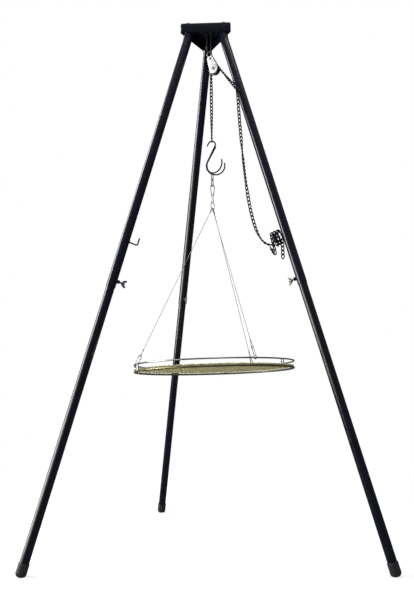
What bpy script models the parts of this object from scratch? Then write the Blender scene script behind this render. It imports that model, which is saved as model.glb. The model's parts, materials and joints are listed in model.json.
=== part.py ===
"""Tripod swing grill: three telescopic tube legs bolted under a folded triangular head plate,
a chain running over a pulley block, and a round mesh grate on three thin wires.

Metres, +Z up. The working frame has the head plate's centre over (0, 0), the viewer at -Y and
the floor at z = 0. The whole model is then moved so that the middle of its footprint is the
origin. The pulley, the taut chain and the right leg share one upright plane: U runs in it
towards the right leg, N is square to it."""

from math import acos, asin, asinh, atan, atan2, cos, cosh, degrees, pi, radians, sin, sinh, sqrt, tan

import bmesh
import bpy
from mathutils import Matrix, Vector

# head plate: a folded steel sheet, an equilateral triangle with cut corners and three flanges
SIDE = 0.209
CORNER_CUT = 0.0095
SHEET = 0.002
PLATE_TOP = 2.005
FLANGE = 0.038
GAP = 0.0003

# legs: an upper tube bent near its top, a thinner tube sliding in it, a plug under that
UPPER_R, UPPER_BORE = 0.017, 0.0161
LOWER_R, LOWER_BORE = 0.0155, 0.0141
SPLAY = atan(0.3045)
BEND_R = 0.16
KNEE_Z = 1.950
UPPER_END_Z = 0.9345
LOWER_TOP_Z = 1.033
CLAMP_Z = 0.960
LEG_HOOK_Z = 1.1065
CHAIN_EYE_Z = 1.700
CORNER_R = SIDE / sqrt(3) - 2 * (UPPER_R + SHEET + 2 * GAP)
LEGS = {"left": (210, 0), "right": (330, 0), "back": (90, 26)}  # corner azimuth, swivel

# chain: twisted links, all lying the same way
PITCH = 0.0145
WIRE = 0.0033
LINK_WIDTH = 0.013
LINK_HALF = (PITCH + 0.0015) / 2
LINK_POINTS = 6
LINK_TWIST = radians(45)  # each way from the middle of a link
LOOSE = 2 * LINK_HALF - WIRE - 2 * GAP  # spacing of two links that hang in each other

# pulley block
U = Vector((cos(radians(-30)), sin(radians(-30)), 0))
N = Vector((sin(radians(30)), cos(radians(30)), 0))
Z = Vector((0, 0, 1))
U_BOLT_R, U_BOLT_HALF = 0.0035, 0.016
U_BOLT_U, U_BOLT_Z = 0.0125, 1.904
BLOCK_TILT = radians(18.9)
RIVET_DROP, AXLE_DROP = 0.0333, 0.0803
CHAIN_R = 0.0175  # radius of the chain's middle on the sheave
SHEAVE_R, SHEAVE_HALF = 0.021, 0.0097
CHEEK_IN, CHEEK = 0.010, 0.002

# what hangs on the chain
HOOK_TOP = 1.537
HOOK_ROD = 0.00275
BOW_Z = 1.39975
GRATE_Z = 0.639
GRATE_TILT = (radians(-2.2), radians(-1.1))
RIM_R, RIM_ROD = 0.296, 0.004
BAR, BAR_PITCH, BAR_SINK = 0.003, 0.052, 0.001
# the bars' ends lie on the rim's inner top, this far above its middle
MESH_LIFT = sqrt((RIM_ROD + GAP) ** 2 - 0.0016 ** 2)
RAIL_R, RAIL_ROD, RAIL_RISE = 0.2972, 0.00275, 0.025
WIRES = {"left": 180, "near": -60, "far": 60}  # azimuth of each hanging wire
# spring hooks: length, width at the top, width at the bottom, rod radius
TOP_SNAP = (0.046, 0.0195, 0.0130, 0.0020)
RIM_SNAP = (0.052, 0.0142, 0.0138, 0.0017)


def at(u, n, z):
    """A point in the pulley's plane coordinates, in the working frame."""
    return U * u + N * n + Z * z


def clear_scene():
    for obj in list(bpy.data.objects):
        bpy.data.objects.remove(obj, do_unlink=True)


def collection(name):
    made = bpy.data.collections.new(name)
    bpy.context.scene.collection.children.link(made)
    return made


clear_scene()
PARTS = collection("tripod_swing_grill")
CUTTERS = collection("cutters")
CUTTERS.hide_render = True


def material(name, colour, roughness, metallic):
    made = bpy.data.materials.new(name)
    made.use_nodes = True
    shader = made.node_tree.nodes["Principled BSDF"]
    shader.inputs["Base Color"].default_value = (*colour, 1)
    shader.inputs["Roughness"].default_value = roughness
    shader.inputs["Metallic"].default_value = metallic
    return made


PAINT = material("black_paint", (0.010, 0.011, 0.015), 0.32, 0.0)
CHAIN_STEEL = material("black_chain", (0.012, 0.012, 0.013), 0.38, 0.6)
ZINC = material("zinc_plate", (0.74, 0.75, 0.76), 0.30, 1.0)
ZINC_DARK = material("dark_rod", (0.03, 0.03, 0.033), 0.35, 0.7)
STEEL_WIRE = material("wire_rope", (0.42, 0.42, 0.42), 0.40, 1.0)
CHROME = material("grate_plate", (0.36, 0.35, 0.29), 0.32, 1.0)
MESH_STEEL = material("mesh_steel", (0.30, 0.28, 0.20), 0.42, 1.0)
PLASTIC = material("foot_plastic", (0.012, 0.012, 0.014), 0.50, 0.0)


def keep(name, data, look, place=None):
    obj = bpy.data.objects.new(name, data)
    (place or PARTS).objects.link(obj)
    if look:
        data.materials.clear()
        data.materials.append(look)
    return obj


def smooth(obj, angle=35):
    obj.data.shade_smooth()
    obj.data.set_sharp_from_angle(angle=radians(angle))
    return obj


def evaluated_mesh(obj):
    graph = bpy.context.evaluated_depsgraph_get()
    return bpy.data.meshes.new_from_object(obj.evaluated_get(graph))


def as_mesh(obj):
    """The object's evaluated shape as a mesh object of the same name, with curve caps welded."""
    mesh = evaluated_mesh(obj)
    bm = bmesh.new()
    bm.from_mesh(mesh)
    bmesh.ops.remove_doubles(bm, verts=bm.verts, dist=1e-6)
    bm.to_mesh(mesh)
    bm.free()
    name, place, look = obj.name, obj.users_collection[0], obj.data.materials[:]
    matrix = obj.matrix_world.copy()
    bpy.data.objects.remove(obj, do_unlink=True)
    mesh.name = name
    made = keep(name, mesh, look[0] if look else None, place)
    made.matrix_world = matrix
    return made


def combine(obj, other, operation, crossing=False):
    """Joins or cuts obj with another mesh object, which is used up. Crossing is for operands
    whose own parts run into each other."""
    other.hide_render = True
    other.display_type = "WIRE"
    change = obj.modifiers.new(operation.lower(), "BOOLEAN")
    change.operation, change.object, change.solver = operation, other, "EXACT"
    change.use_self = crossing
    look = obj.data.materials[0]
    mesh = evaluated_mesh(obj)
    obj.modifiers.clear()
    old, obj.data = obj.data, mesh
    bpy.data.meshes.remove(old)
    mesh.name = obj.name
    mesh.materials.clear()
    mesh.materials.append(look)
    bpy.data.objects.remove(other, do_unlink=True)
    return obj


def from_bmesh(name, bm, look, matrix=None, place=None):
    if matrix is not None:
        bm.transform(matrix)
    mesh = bpy.data.meshes.new(name)
    bm.to_mesh(mesh)
    bm.free()
    return keep(name, mesh, look, place)


def turn_to(axis, x_axis=None):
    """A rotation that takes +Z to the axis and, where given, +X as near as it goes to x_axis."""
    z = Vector(axis).normalized()
    guide = Vector(x_axis) if x_axis else z.orthogonal()
    x = (guide - z * guide.dot(z)).normalized()
    return Matrix((x, z.cross(x), z)).transposed().to_4x4()


def cylinder(name, centre, axis, radius, length, look=None, sides=16, place=None, x_axis=None):
    bm = bmesh.new()
    bmesh.ops.create_cone(bm, cap_ends=True, segments=sides, radius1=radius, radius2=radius,
                          depth=length)
    return from_bmesh(name, bm, look, Matrix.Translation(centre) @ turn_to(axis, x_axis), place)


def cutter(name, centre, axis, radius, length, sides=16):
    return cylinder(name, centre, axis, radius, length, None, sides, CUTTERS)


def drill(obj, centre, axis, radius, length, sides=16):
    return combine(obj, cutter("drill", centre, axis, radius, length, sides), "DIFFERENCE")


def rod(name, paths, radius, look, resolution=2, closed=False, radii=None, place=None, tilt=0):
    """A round bar along each path of points; closed paths make rings."""
    curve = bpy.data.curves.new(name, "CURVE")
    curve.dimensions = "3D"
    curve.bevel_depth, curve.bevel_resolution = radius, resolution
    curve.use_fill_caps = True
    for path in paths:
        spline = curve.splines.new("POLY")
        spline.points.add(len(path) - 1)
        for number, (point, spot) in enumerate(zip(spline.points, path)):
            point.co = (*spot, 1)
            point.radius = radii[number] if radii else 1
            point.tilt = radians(tilt)
        spline.use_cyclic_u = closed
    return keep(name, curve, look, place)


def flat(name, outlines, thickness, look, matrix):
    """A sheet cut to closed outlines; an outline inside another is a hole."""
    curve = bpy.data.curves.new(name, "CURVE")
    curve.dimensions, curve.fill_mode = "2D", "BOTH"
    curve.extrude = thickness / 2
    for outline in outlines:
        spline = curve.splines.new("POLY")
        spline.points.add(len(outline) - 1)
        for point, (x, y) in zip(spline.points, outline):
            point.co = (x, y, 0, 1)
        spline.use_cyclic_u = True
    obj = as_mesh(keep(name, curve, look))
    obj.data.transform(matrix)
    return obj


def turned(name, profile, look, matrix, steps=24):
    """A profile of (radius, height) points, top to bottom, turned round +Z by a Screw."""
    bm = bmesh.new()
    spots = [bm.verts.new((r, 0, h)) for r, h in profile]
    for first, second in zip(spots, spots[1:]):
        bm.edges.new((first, second))
    obj = from_bmesh(name, bm, look)
    screw = obj.modifiers.new("turn", "SCREW")
    screw.steps = screw.render_steps = steps
    screw.use_merge_vertices, screw.merge_threshold = True, 0.00001
    obj = as_mesh(obj)
    obj.data.transform(matrix)
    return smooth(obj)


def ring_turned(name, profile, look, matrix, steps=24):
    """A closed profile turned round +Z, for a piece with a bore."""
    return turned(name, [*profile, profile[0]], look, matrix, steps)


def circle(radius, sides, centre=(0, 0), start=0.0):
    return [(centre[0] + radius * cos(start + 2 * pi * k / sides),
             centre[1] + radius * sin(start + 2 * pi * k / sides)) for k in range(sides)]


def arc(centre, first, second, start, end, steps):
    """Points round a centre in the plane of two unit vectors, angles in degrees."""
    turns = [radians(start + (end - start) * k / steps) for k in range(steps + 1)]
    return [centre + first * cos(a) + second * sin(a) for a in turns]


def through(points, steps=8):
    """A smooth line through the points, as a Catmull-Rom curve."""
    ends = [points[0] * 2 - points[1], *points, points[-1] * 2 - points[-2]]
    line = []
    for a, b, c, d in zip(ends, ends[1:], ends[2:], ends[3:]):
        for k in range(steps):
            t = k / steps
            line.append(0.5 * ((2 * b) + (c - a) * t + (2 * a - 5 * b + 4 * c - d) * t * t
                               + (3 * b - a - 3 * c + d) * t ** 3))
    return [*line, points[-1]]


class Route:
    """A line that can be read at any distance along it."""

    def __init__(self, points):
        self.points = points
        self.marks = [0.0]
        for a, b in zip(points, points[1:]):
            self.marks.append(self.marks[-1] + (b - a).length)
        self.length = self.marks[-1]

    def spot(self, distance):
        if distance <= 0:
            way = (self.points[1] - self.points[0]).normalized()
            return self.points[0] + way * distance
        for k, mark in enumerate(self.marks[1:]):
            if distance <= mark:
                share = (distance - self.marks[k]) / (mark - self.marks[k])
                return self.points[k].lerp(self.points[k + 1], share)
        way = (self.points[-1] - self.points[-2]).normalized()
        return self.points[-1] + way * (distance - self.length)


def link_path(centre, along, across, half=LINK_HALF, points=LINK_POINTS):
    """One link's middle line: an oval, turned about its long axis by the twist at its ends."""
    side = along.cross(across).normalized()
    path = []
    for k in range(points):
        a = 2 * pi * (k + 0.5) / points
        x, y = half * cos(a) / cos(pi / points), (LINK_WIDTH - WIRE) / 2 * sin(a)
        turn = LINK_TWIST * x / half
        path.append(centre + along * x + across * (y * cos(turn)) + side * (y * sin(turn)))
    return path


def hanging_in(across):
    """The width direction of an upright link that hangs loose in one with this direction."""
    return Matrix.Rotation(LINK_TWIST / 2, 3, "Z") @ across


def upright(frame):
    """The same link turned to hang straight down."""
    spot, _, across = frame
    return spot, -Z, Vector((across.x, across.y, 0)).normalized()


def flat_link(centre, along, across):
    """The middle line of an end link, which isn't twisted."""
    return oval(centre, along, across, 2 * LINK_HALF + WIRE, LINK_WIDTH, WIRE, 10)


def link_frames(route, start, count, across, twist_rate=0.0, pitch=PITCH):
    """Centre, direction and width direction of each link along the route."""
    frames = []
    across = Vector(across)
    for k in range(count):
        s = start + k * pitch
        centre = route.spot(s)
        along = (route.spot(s + pitch / 2) - route.spot(s - pitch / 2)).normalized()
        across = (across - along * across.dot(along)).normalized()
        turned_across = Matrix.Rotation(radians(twist_rate) * k, 3, along) @ across
        frames.append((centre, along, turned_across))
    return frames


def chain(name, frames, flat_links=(), crossing=False):
    """Links fused where each one bears on the next: odd links join even links. The first and
    last one hang in other pieces, so they are rounder."""
    last = len(frames) - 1
    runs = []
    for parity in (0, 1):
        paths = [flat_link(*frame) if k in flat_links
                 else link_path(*frame, points=LINK_POINTS + 2 * (k in (0, last)))
                 for k, frame in enumerate(frames) if k % 2 == parity]
        if paths:
            runs.append(as_mesh(rod(f"{name}_{parity}", paths, WIRE / 2, CHAIN_STEEL, 0, True)))
    obj = combine(runs[0], runs[1], "UNION", crossing) if len(runs) == 2 else runs[0]
    obj.name = obj.data.name = name
    return smooth(obj, 60)


def oval(centre, along, across, long, wide, wire, count=12):
    """A link with straight sides and round ends, given by its outer sizes."""
    radius = (wide - wire) / 2
    reach = (long - wire) / 2 - radius * cos(pi / count)
    path = []
    for end in (1, -1):
        for k in range(count // 2):
            a = pi * (k + 0.5) / (count // 2) - pi / 2
            path.append(centre + along * (end * (reach + radius * cos(a)))
                        + across * (end * radius * sin(a)))
    return path


def empty(name, spot, turn=(0, 0, 0), parent=None):
    obj = bpy.data.objects.new(name, None)
    obj.empty_display_size = 0.03
    PARTS.objects.link(obj)
    obj.location, obj.rotation_euler = spot, turn
    if parent:
        bpy.context.view_layer.update()
        obj.matrix_world = obj.matrix_basis.copy()
        obj.parent = parent
        obj.matrix_parent_inverse = parent.matrix_world.inverted()
    return obj


def hang_on(joint, *pieces):
    """Moves pieces modelled in the working frame under the joint's empty."""
    bpy.context.view_layer.update()
    back = joint.matrix_world.inverted()
    for piece in pieces:
        piece.data.transform(back)
        piece.parent = joint


def head_plate():
    corner = SIDE / sqrt(3)
    outline = []
    for azimuth in (-30, 90, 210):
        here = Vector((cos(radians(azimuth)), sin(radians(azimuth)))) * corner
        for other in (azimuth - 120, azimuth + 120):
            way = Vector((cos(radians(other)), sin(radians(other)))) * corner - here
            outline.append(here + way.normalized() * CORNER_CUT)
    bm = bmesh.new()
    low = [bm.verts.new((x, y, PLATE_TOP - FLANGE)) for x, y in outline]
    face = bm.faces.new(low)
    raised = bmesh.ops.extrude_face_region(bm, geom=[face])["geom"]
    top = [v for v in raised if isinstance(v, bmesh.types.BMVert)]
    bmesh.ops.translate(bm, vec=(0, 0, FLANGE), verts=top)
    bmesh.ops.recalc_face_normals(bm, faces=bm.faces)
    rim = [e for e in bm.edges if all(v.co.z > PLATE_TOP - 1e-6 for v in e.verts)]
    bmesh.ops.bevel(bm, geom=rim, offset=0.0025, segments=2, profile=0.5, affect="EDGES")
    plate = from_bmesh("head_plate", bm, PAINT)
    inner = 2 * (SIDE / (2 * sqrt(3)) - SHEET)
    hollow = cutter("hollow", (0, 0, PLATE_TOP - SHEET - FLANGE), Z, inner, 2 * FLANGE, 3)
    hollow.data.transform(Matrix.Rotation(radians(-30 - degrees(atan2(
        hollow.data.vertices[0].co.y, hollow.data.vertices[0].co.x))), 4, "Z"))
    combine(plate, hollow, "DIFFERENCE")
    for azimuth, _ in LEGS.values():
        spot = (CORNER_R * cos(radians(azimuth)), CORNER_R * sin(radians(azimuth)), PLATE_TOP)
        drill(plate, spot, Z, 0.0053, 0.02, 12)
    for side in (-1, 1):
        drill(plate, at(U_BOLT_U, side * U_BOLT_HALF, PLATE_TOP), Z, 0.0040, 0.02, 12)
    return plate


def nut(name, centre, axis, across_flats, height, bore, look, x_axis=None):
    radius = across_flats / sqrt(3)
    body = cylinder(name, centre, axis, radius, height, look, 6, x_axis=x_axis)
    return drill(body, centre, axis, bore, height * 2, 12)


def bolt(name, top, radius, length, flats, head):
    """A hex bolt with a washer, pointing down; top is where the washer rests."""
    body = cylinder(name, top + Z * (head / 2 + 0.0014), Z, flats / sqrt(3), head, PAINT, 6)
    washer = cylinder("washer", top + Z * 0.0008, Z, flats * 0.62, 0.0016, PAINT, 16)
    shank = cylinder("shank", top + Z * (0.002 - length / 2), Z, radius, length, PAINT, 12)
    return smooth(combine(combine(body, washer, "UNION"), shank, "UNION"))


LEG_DOWN = Vector((sin(SPLAY), 0, -cos(SPLAY)))
LEG_IN = Vector((-cos(SPLAY), 0, -sin(SPLAY)))


def leg_point(z, offset=0.0):
    """A point on the straight part's axis at this height, in the leg's own frame."""
    return Vector(((KNEE_Z - z) * tan(SPLAY), 0, z)) + LEG_IN * offset


def upper_leg(name):
    reach = BEND_R * tan(SPLAY / 2)
    top = PLATE_TOP - SHEET - GAP
    centre = Vector((BEND_R, 0, KNEE_Z + reach))
    bend = arc(centre, Vector((-BEND_R, 0, 0)), Vector((0, 0, -BEND_R)), 0, degrees(SPLAY), 3)
    line = [Vector((0, 0, top)), *bend, leg_point(UPPER_END_Z)]
    outer = as_mesh(rod(name, [line], UPPER_R, PAINT, 6))
    inside = [Vector((0, 0, top - 0.022)), *bend, leg_point(UPPER_END_Z) + LEG_DOWN * 0.01]
    bore = as_mesh(rod("bore", [inside], UPPER_BORE, None, 6, place=CUTTERS))
    combine(outer, bore, "DIFFERENCE")
    drill(outer, (0, 0, top - 0.004), Z, 0.0053, 0.024, 12)
    drill(outer, leg_point(CLAMP_Z, UPPER_R), LEG_IN, 0.0033, 0.012, 12)
    return smooth(outer)


def lower_leg(name):
    line = [leg_point(LOWER_TOP_Z), leg_point(0.0) - LEG_DOWN * 0.012]
    outer = as_mesh(rod(name, [line], LOWER_R, PAINT, 6))
    inside = [line[0] - LEG_DOWN * 0.01, line[1] + LEG_DOWN * 0.01]
    bore = as_mesh(rod("bore", [inside], LOWER_BORE, None, 6, place=CUTTERS))
    return smooth(combine(outer, bore, "DIFFERENCE"))


def foot_plug(name):
    """A rounded cap over the tube's end, cut flat where it stands."""
    base = leg_point(0.0) - LEG_DOWN * 0.012
    wall, bore = 0.0178, LOWER_R + GAP
    profile = [(bore, 0.030), (wall - 0.001, 0.030), (wall, 0.029), (wall, 0.000),
               (wall - 0.0025, -0.0075), (wall - 0.009, -0.0120), (0.0, -0.0130), (0.0, -GAP),
               (bore, -GAP)]
    place = Matrix.Translation(base) @ turn_to(-LEG_DOWN)
    cap = ring_turned(name, profile, PLASTIC, place, 16)
    floor = cutter("floor", leg_point(0.0) - Z * 0.05, Z, 0.08, 0.1, 8)
    return combine(cap, floor, "DIFFERENCE")


def clamp_nut(name):
    centre = leg_point(CLAMP_Z, UPPER_R + GAP + 0.0045)
    return nut(name, centre, LEG_IN, 0.012, 0.009, 0.0033, PAINT, LEG_DOWN)


def wing_screw(name):
    """A thumb screw: shank, tapered hub and two rounded wings."""
    tip = leg_point(CLAMP_Z, LOWER_R + GAP)
    place = Matrix.Translation(tip) @ turn_to(LEG_IN, LEG_DOWN)
    hub = turned(name, [(0, 0.030), (0.0036, 0.030), (0.0052, 0.0165), (0.0028, 0.0160),
                        (0.0028, 0.0005), (0.0022, 0.0), (0, 0.0)], ZINC, place, 12)
    wing = [(0.0022, 0.018), (0.0050, 0.0185), (0.0105, 0.0235), (0.0140, 0.0300),
            (0.0142, 0.0340), (0.0120, 0.0362), (0.0085, 0.0350), (0.0045, 0.0300),
            (0.0, 0.0288)]
    outline = [*wing, *[(-x, y) for x, y in reversed(wing[:-1])]]
    upright = place @ Matrix.Rotation(pi / 2, 4, "X")
    wings = flat("wings", [outline], 0.0030, ZINC, upright)
    return smooth(combine(hub, wings, "UNION"))


def leg_hook(name):
    """A bent rod, square to the leg and then up beside it."""
    root = leg_point(LEG_HOOK_Z, UPPER_R + GAP)
    corner = leg_point(LEG_HOOK_Z, 0.049)
    turn = 0.006
    bend = arc(corner - LEG_IN * turn - LEG_DOWN * turn, LEG_DOWN * turn, LEG_IN * turn,
               0, 90, 3)
    return rod(name, [[root, *bend, corner - LEG_DOWN * 0.030]], HOOK_ROD, PAINT, 2)


def chain_eye(name):
    """The small bent rod on the right leg's side that holds the chain's taut end."""
    out = Vector((0, -1, 0))
    spot = leg_point(CHAIN_EYE_Z)
    corner, turn = spot + out * 0.0365, 0.005
    bend = arc(corner - out * turn - LEG_DOWN * turn, LEG_DOWN * turn, out * turn, 0, 90, 3)
    return rod(name, [[spot + out * (UPPER_R + GAP), *bend, corner - LEG_DOWN * 0.017]],
               0.0025, PAINT, 2)


def legs(root):
    """The three legs: the second and third share the first one's meshes."""
    made = {}
    shapes = {"upper_leg": upper_leg, "clamp_nut": clamp_nut, "lower_leg": lower_leg,
              "foot_plug": foot_plug, "wing_screw": wing_screw, "leg_hook": leg_hook}
    first = {}
    slide_spot, clamp_spot = leg_point(CLAMP_Z), leg_point(CLAMP_Z, UPPER_R)
    for side, (azimuth, swivel) in LEGS.items():
        spot = Vector((CORNER_R * cos(radians(azimuth)), CORNER_R * sin(radians(azimuth)), 0))
        frame = empty(f"leg_{side}_axis", spot, (0, 0, radians(azimuth + swivel)), root)
        bpy.context.view_layer.update()
        for kind, build in shapes.items():
            if kind == "leg_hook" and side == "back":
                continue
            name = f"{kind}_{side}"
            if kind in first:
                piece = keep(name, first[kind], None)
            else:
                piece = build(name)
                first[kind] = piece.data
            piece.parent = frame
            made[name] = piece
        top = spot + Z * (PLATE_TOP + GAP)
        made[f"leg_bolt_{side}"] = bolt(f"leg_bolt_{side}", top, 0.005, 0.018, 0.017, 0.0064)
        made[f"leg_bolt_{side}"].parent = root
    for kind, spot in (("lower_leg", slide_spot), ("foot_plug", slide_spot),
                       ("wing_screw", clamp_spot)):
        first[kind].transform(Matrix.Translation(-spot))
        for side in LEGS:
            made[f"{kind}_{side}"].location = spot
    return made


DOWN_BLOCK = (U * sin(BLOCK_TILT) - Z * cos(BLOCK_TILT))
SIDE_BLOCK = (U * cos(BLOCK_TILT) + Z * sin(BLOCK_TILT))
U_ROD = at(U_BOLT_U, 0, U_BOLT_Z)
RIVET = U_ROD + DOWN_BLOCK * RIVET_DROP
AXLE = U_ROD + DOWN_BLOCK * AXLE_DROP
AXIS_U = AXLE.dot(U) - CHAIN_R
HANG = at(AXIS_U, 0, 0)


def u_bolt():
    centre = U_ROD + Z * U_BOLT_HALF
    low = arc(centre, N * U_BOLT_HALF, -Z * U_BOLT_HALF, 0, 180, 8)
    top = Z * (PLATE_TOP + 0.0105)
    first, last = low[0], low[-1]
    path = [first + (top - Z * first.z), *low, last + (top - Z * last.z)]
    return rod("u_bolt", [path], U_BOLT_R, ZINC_DARK, 2)


def cheek(name, side):
    """An egg-shaped side plate: a small circle round the rivet, a large one round the axle."""
    small, large, span = 0.0145, 0.0215, AXLE_DROP - RIVET_DROP
    lean = degrees(asin((large - small) / span))
    outline = [(small * cos(radians(a)), small * sin(radians(a)))
               for a in [(-lean + (180 + 2 * lean) * k / 8) for k in range(9)]]
    outline += [(large * cos(radians(a)), -span + large * sin(radians(a)))
                for a in [(180 + lean + (180 - 2 * lean) * k / 12) for k in range(13)]]
    middle = RIVET + N * side * (CHEEK_IN + CHEEK / 2)
    place = Matrix.Translation(middle) @ Matrix(
        (SIDE_BLOCK, -DOWN_BLOCK, SIDE_BLOCK.cross(-DOWN_BLOCK))).transposed().to_4x4()
    holes = [circle(0.0033, 12), circle(0.0043, 12, (0, -span))]
    return flat(name, [outline, *holes], CHEEK, ZINC, place)


def headed_pin(name, spot, radius, head, look):
    reach = CHEEK_IN + CHEEK + GAP
    profile = [(0, reach + 0.002), (head * 0.7, reach + 0.002), (head, reach + 0.0012),
               (head, reach), (radius, reach)]
    profile += [(r, -h) for r, h in reversed(profile)]
    return turned(name, profile, look, Matrix.Translation(spot) @ turn_to(N), 12)


def sheave():
    """A grooved wheel, with a bore for its pin."""
    edge, groove, foot = SHEAVE_HALF, 0.0083, 0.0072
    profile = [(0.0043, edge), (SHEAVE_R - 0.0006, edge), (SHEAVE_R, edge - 0.0005),
               (SHEAVE_R - 0.0006, groove), (0.0145, foot), (0.0137, foot - 0.0015),
               (0.0137, -foot + 0.0015), (0.0145, -foot), (SHEAVE_R - 0.0006, -groove),
               (SHEAVE_R, -edge + 0.0005), (SHEAVE_R - 0.0006, -edge), (0.0043, -edge)]
    return ring_turned("sheave", profile, MESH_STEEL, Matrix.Translation(AXLE) @ turn_to(N), 18)


def shackle_ring():
    wire = 0.005
    top, low = -(U_BOLT_R + GAP + wire / 2), RIVET_DROP + 0.003 + GAP + wire / 2
    centre = U_ROD + DOWN_BLOCK * (top + low) / 2
    path = oval(centre, DOWN_BLOCK, SIDE_BLOCK, low - top + wire, 0.024, wire, 12)
    return rod("shackle_ring", [path], wire / 2, ZINC, 1, True)


def fall_route():
    """Over the sheave from its left side, then straight to the eye on the right leg."""
    spot = leg_point(CHAIN_EYE_Z)
    eye = at(spot.x + CORNER_R, -0.0255, CHAIN_EYE_Z)
    away = Vector((eye.dot(U) - AXLE.dot(U), eye.z - AXLE.z))
    base = atan2(away.y, away.x)
    last = degrees(base + acos(CHAIN_R / away.length))
    wrap = arc(AXLE, U * CHAIN_R, Z * CHAIN_R, 180, last, 16)
    way = (eye - wrap[-1]).normalized()
    end = eye - way * (LINK_HALF - WIRE / 2 - 0.0025 - GAP)
    return Route([*wrap, end])


def slack_route():
    """The loose run: a hanging curve from the eye down to the hank on the leg's hook."""
    spot = leg_point(CHAIN_EYE_Z)
    top = at(spot.x + CORNER_R, -0.0298, CHAIN_EYE_Z - (LINK_HALF - WIRE / 2 - 0.0025 - GAP))
    end = hank_point(0.0700, 0.0, 0.002)
    flat_way = Vector((end.x - top.x, end.y - top.y, 0))
    h, v, length = flat_way.length, top.z - end.z, 43 * PITCH - 0.0003
    low, high = h / 12, h * 8
    for _ in range(60):
        a = (low + high) / 2
        if 2 * a * sinh(h / (2 * a)) > sqrt(length ** 2 - v ** 2):
            low = a
        else:
            high = a
    # the lowest point of the curve lies this far before the far end
    ratio = v / (2 * a * sinh(h / (2 * a)))
    middle = a * asinh(ratio)
    x0 = h / 2 + middle
    points = []
    for k in range(61):
        x = h * (k / 60) ** 2 if k < 60 else h
        drop = a * (cosh(x0 / a) - cosh((x0 - x) / a))
        points.append(top + flat_way.normalized() * x - Z * drop)
    return Route(points)


def hank_point(out, n, up):
    """A point by the right leg's hook: distance from the leg's axis, sideways, up the leg."""
    local = leg_point(LEG_HOOK_Z, out) - LEG_DOWN * up
    return at(local.x + CORNER_R, n, local.z)


def hank_route(start):
    """A small hanging loop, then two and a half turns round the hook, then straight down."""
    start = [start, hank_point(0.0690, -0.004, -0.030),
             hank_point(0.0640, -0.008, -0.040), hank_point(0.0585, -0.012, -0.033),
             hank_point(0.0555, -0.0150, -0.014)]
    turns = []
    for k in range(1, 41):
        a = pi - 2 * pi * 2.5 * k / 40
        turns.append(hank_point(0.0545 - 0.0300 * k / 40, 0.0150 * cos(a),
                                0.0142 + 0.0245 * sin(a)))
    end = turns[-1]
    drop = [end + N * 0.0075 - Z * 0.010, *[end + N * 0.009 - Z * 0.014 * k for k in (2, 3, 4)]]
    return Route(through([*start, *turns, *drop], 4))


def s_hook():
    """Two rods welded side by side: one bent to an S, the other adding a second lower prong."""
    loop = HOOK_TOP - HOOK_ROD - 0.01345
    along, up = Vector((1, 0, 0)), Z
    centre = HANG + up * loop
    upper = arc(centre, along * 0.01345, up * 0.01345, 205, -10, 9)
    left, right = 0.0180, 0.0473
    shank = [HANG + along * x + up * z for x, z in ((0.0060, 1.4900), (-0.0075, 1.4640),
                                                    (-0.0165, 1.4400))]
    low = HANG + up * BOW_Z
    bow = arc(low + up * left, along * left, up * left, 180, 270, 5)
    bow += arc(low + up * right, along * right, up * right, 270, 350, 7)[1:]
    first = as_mesh(rod("s_hook", [[*upper, *shank, *bow]], HOOK_ROD, CHAIN_STEEL, 1))
    pivot = HANG - along * left
    turn = Matrix.Translation(pivot) @ Matrix.Rotation(radians(-35), 4, "Z") \
        @ Matrix.Translation(-pivot)
    beside = Vector((0, -0.0045, 0))
    weld = [spot + beside for spot in shank]
    prong = [turn @ spot + beside for spot in bow]
    second = as_mesh(rod("prong", [[*weld, *prong]], HOOK_ROD, CHAIN_STEEL, 1))
    return smooth(combine(first, second, "UNION"))


def turned_across(degrees_from_y):
    a = radians(degrees_from_y)
    return Vector((sin(a), cos(a), 0))


def snap_hook(name, bottom, along, across, sizes, look, gate_name):
    """A spring hook: a pear-shaped rod with a gap in one side, and the gate that closes it."""
    long, wide, narrow, rod_r = sizes
    small, large = narrow / 2 - rod_r, wide / 2 - rod_r
    low = bottom + along * small
    high = bottom + along * (long - 2 * rod_r - large)
    first, last = low + across * small, high + across * large

    def on_side(share, shift=0.0):
        return first.lerp(last, share) + along * shift

    body = [on_side(0.16, -0.0005)]
    body += arc(low, across * small, -along * small, 0, 180, 6)
    body += arc(high, -across * large, along * large, 0, 180, 6)
    body += [on_side(0.80, 0.0005)]
    hook = rod(name, [body], rod_r, look, 1)
    gate = rod(gate_name, [[on_side(0.16), on_side(0.80)]], rod_r * 0.85, look, 1)
    return hook, gate, on_side(0.80)


def hanger():
    """Two links, a spring hook and a small link between the hook's bow and the wires' ring."""
    wire, long, wide = 0.0036, 0.0325, 0.0160
    top = BOW_Z + HOOK_ROD + GAP + wire / 2
    half = (long - wire) / 2
    # each piece is turned 60 degrees from the last one
    upper = rod("hanger_link_upper", [oval(HANG + Z * (top - half), Z, turned_across(30), long,
                                           wide, wire)], wire / 2, CHAIN_STEEL, 1, True)
    top = top - 2 * half + wire + GAP
    lower = rod("hanger_link_lower", [oval(HANG + Z * (top - half), Z, turned_across(-30), long,
                                           wide, wire)], wire / 2, CHAIN_STEEL, 1, True)
    bow = top - 2 * half
    snap_rod = TOP_SNAP[3]
    bottom = bow + wire / 2 + GAP + 3 * snap_rod - TOP_SNAP[0]
    hook, gate, pivot = snap_hook("top_snap_hook", HANG + Z * bottom, Z, Vector((1, 0, 0)),
                                  TOP_SNAP, ZINC, "top_snap_gate")
    small, small_long = 0.0030, 0.036
    top = bottom + snap_rod + GAP + small / 2
    half = (small_long - small) / 2
    link = rod("small_link", [oval(HANG + Z * (top - half), Z, Vector((0, 1, 0)), small_long,
                                   0.012, small)], small / 2, ZINC, 1, True)
    ring_r = 0.014
    centre = HANG + Z * (top - 2 * half + small + GAP - ring_r)
    return upper, lower, hook, gate, pivot, link, centre, ring_r


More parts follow.
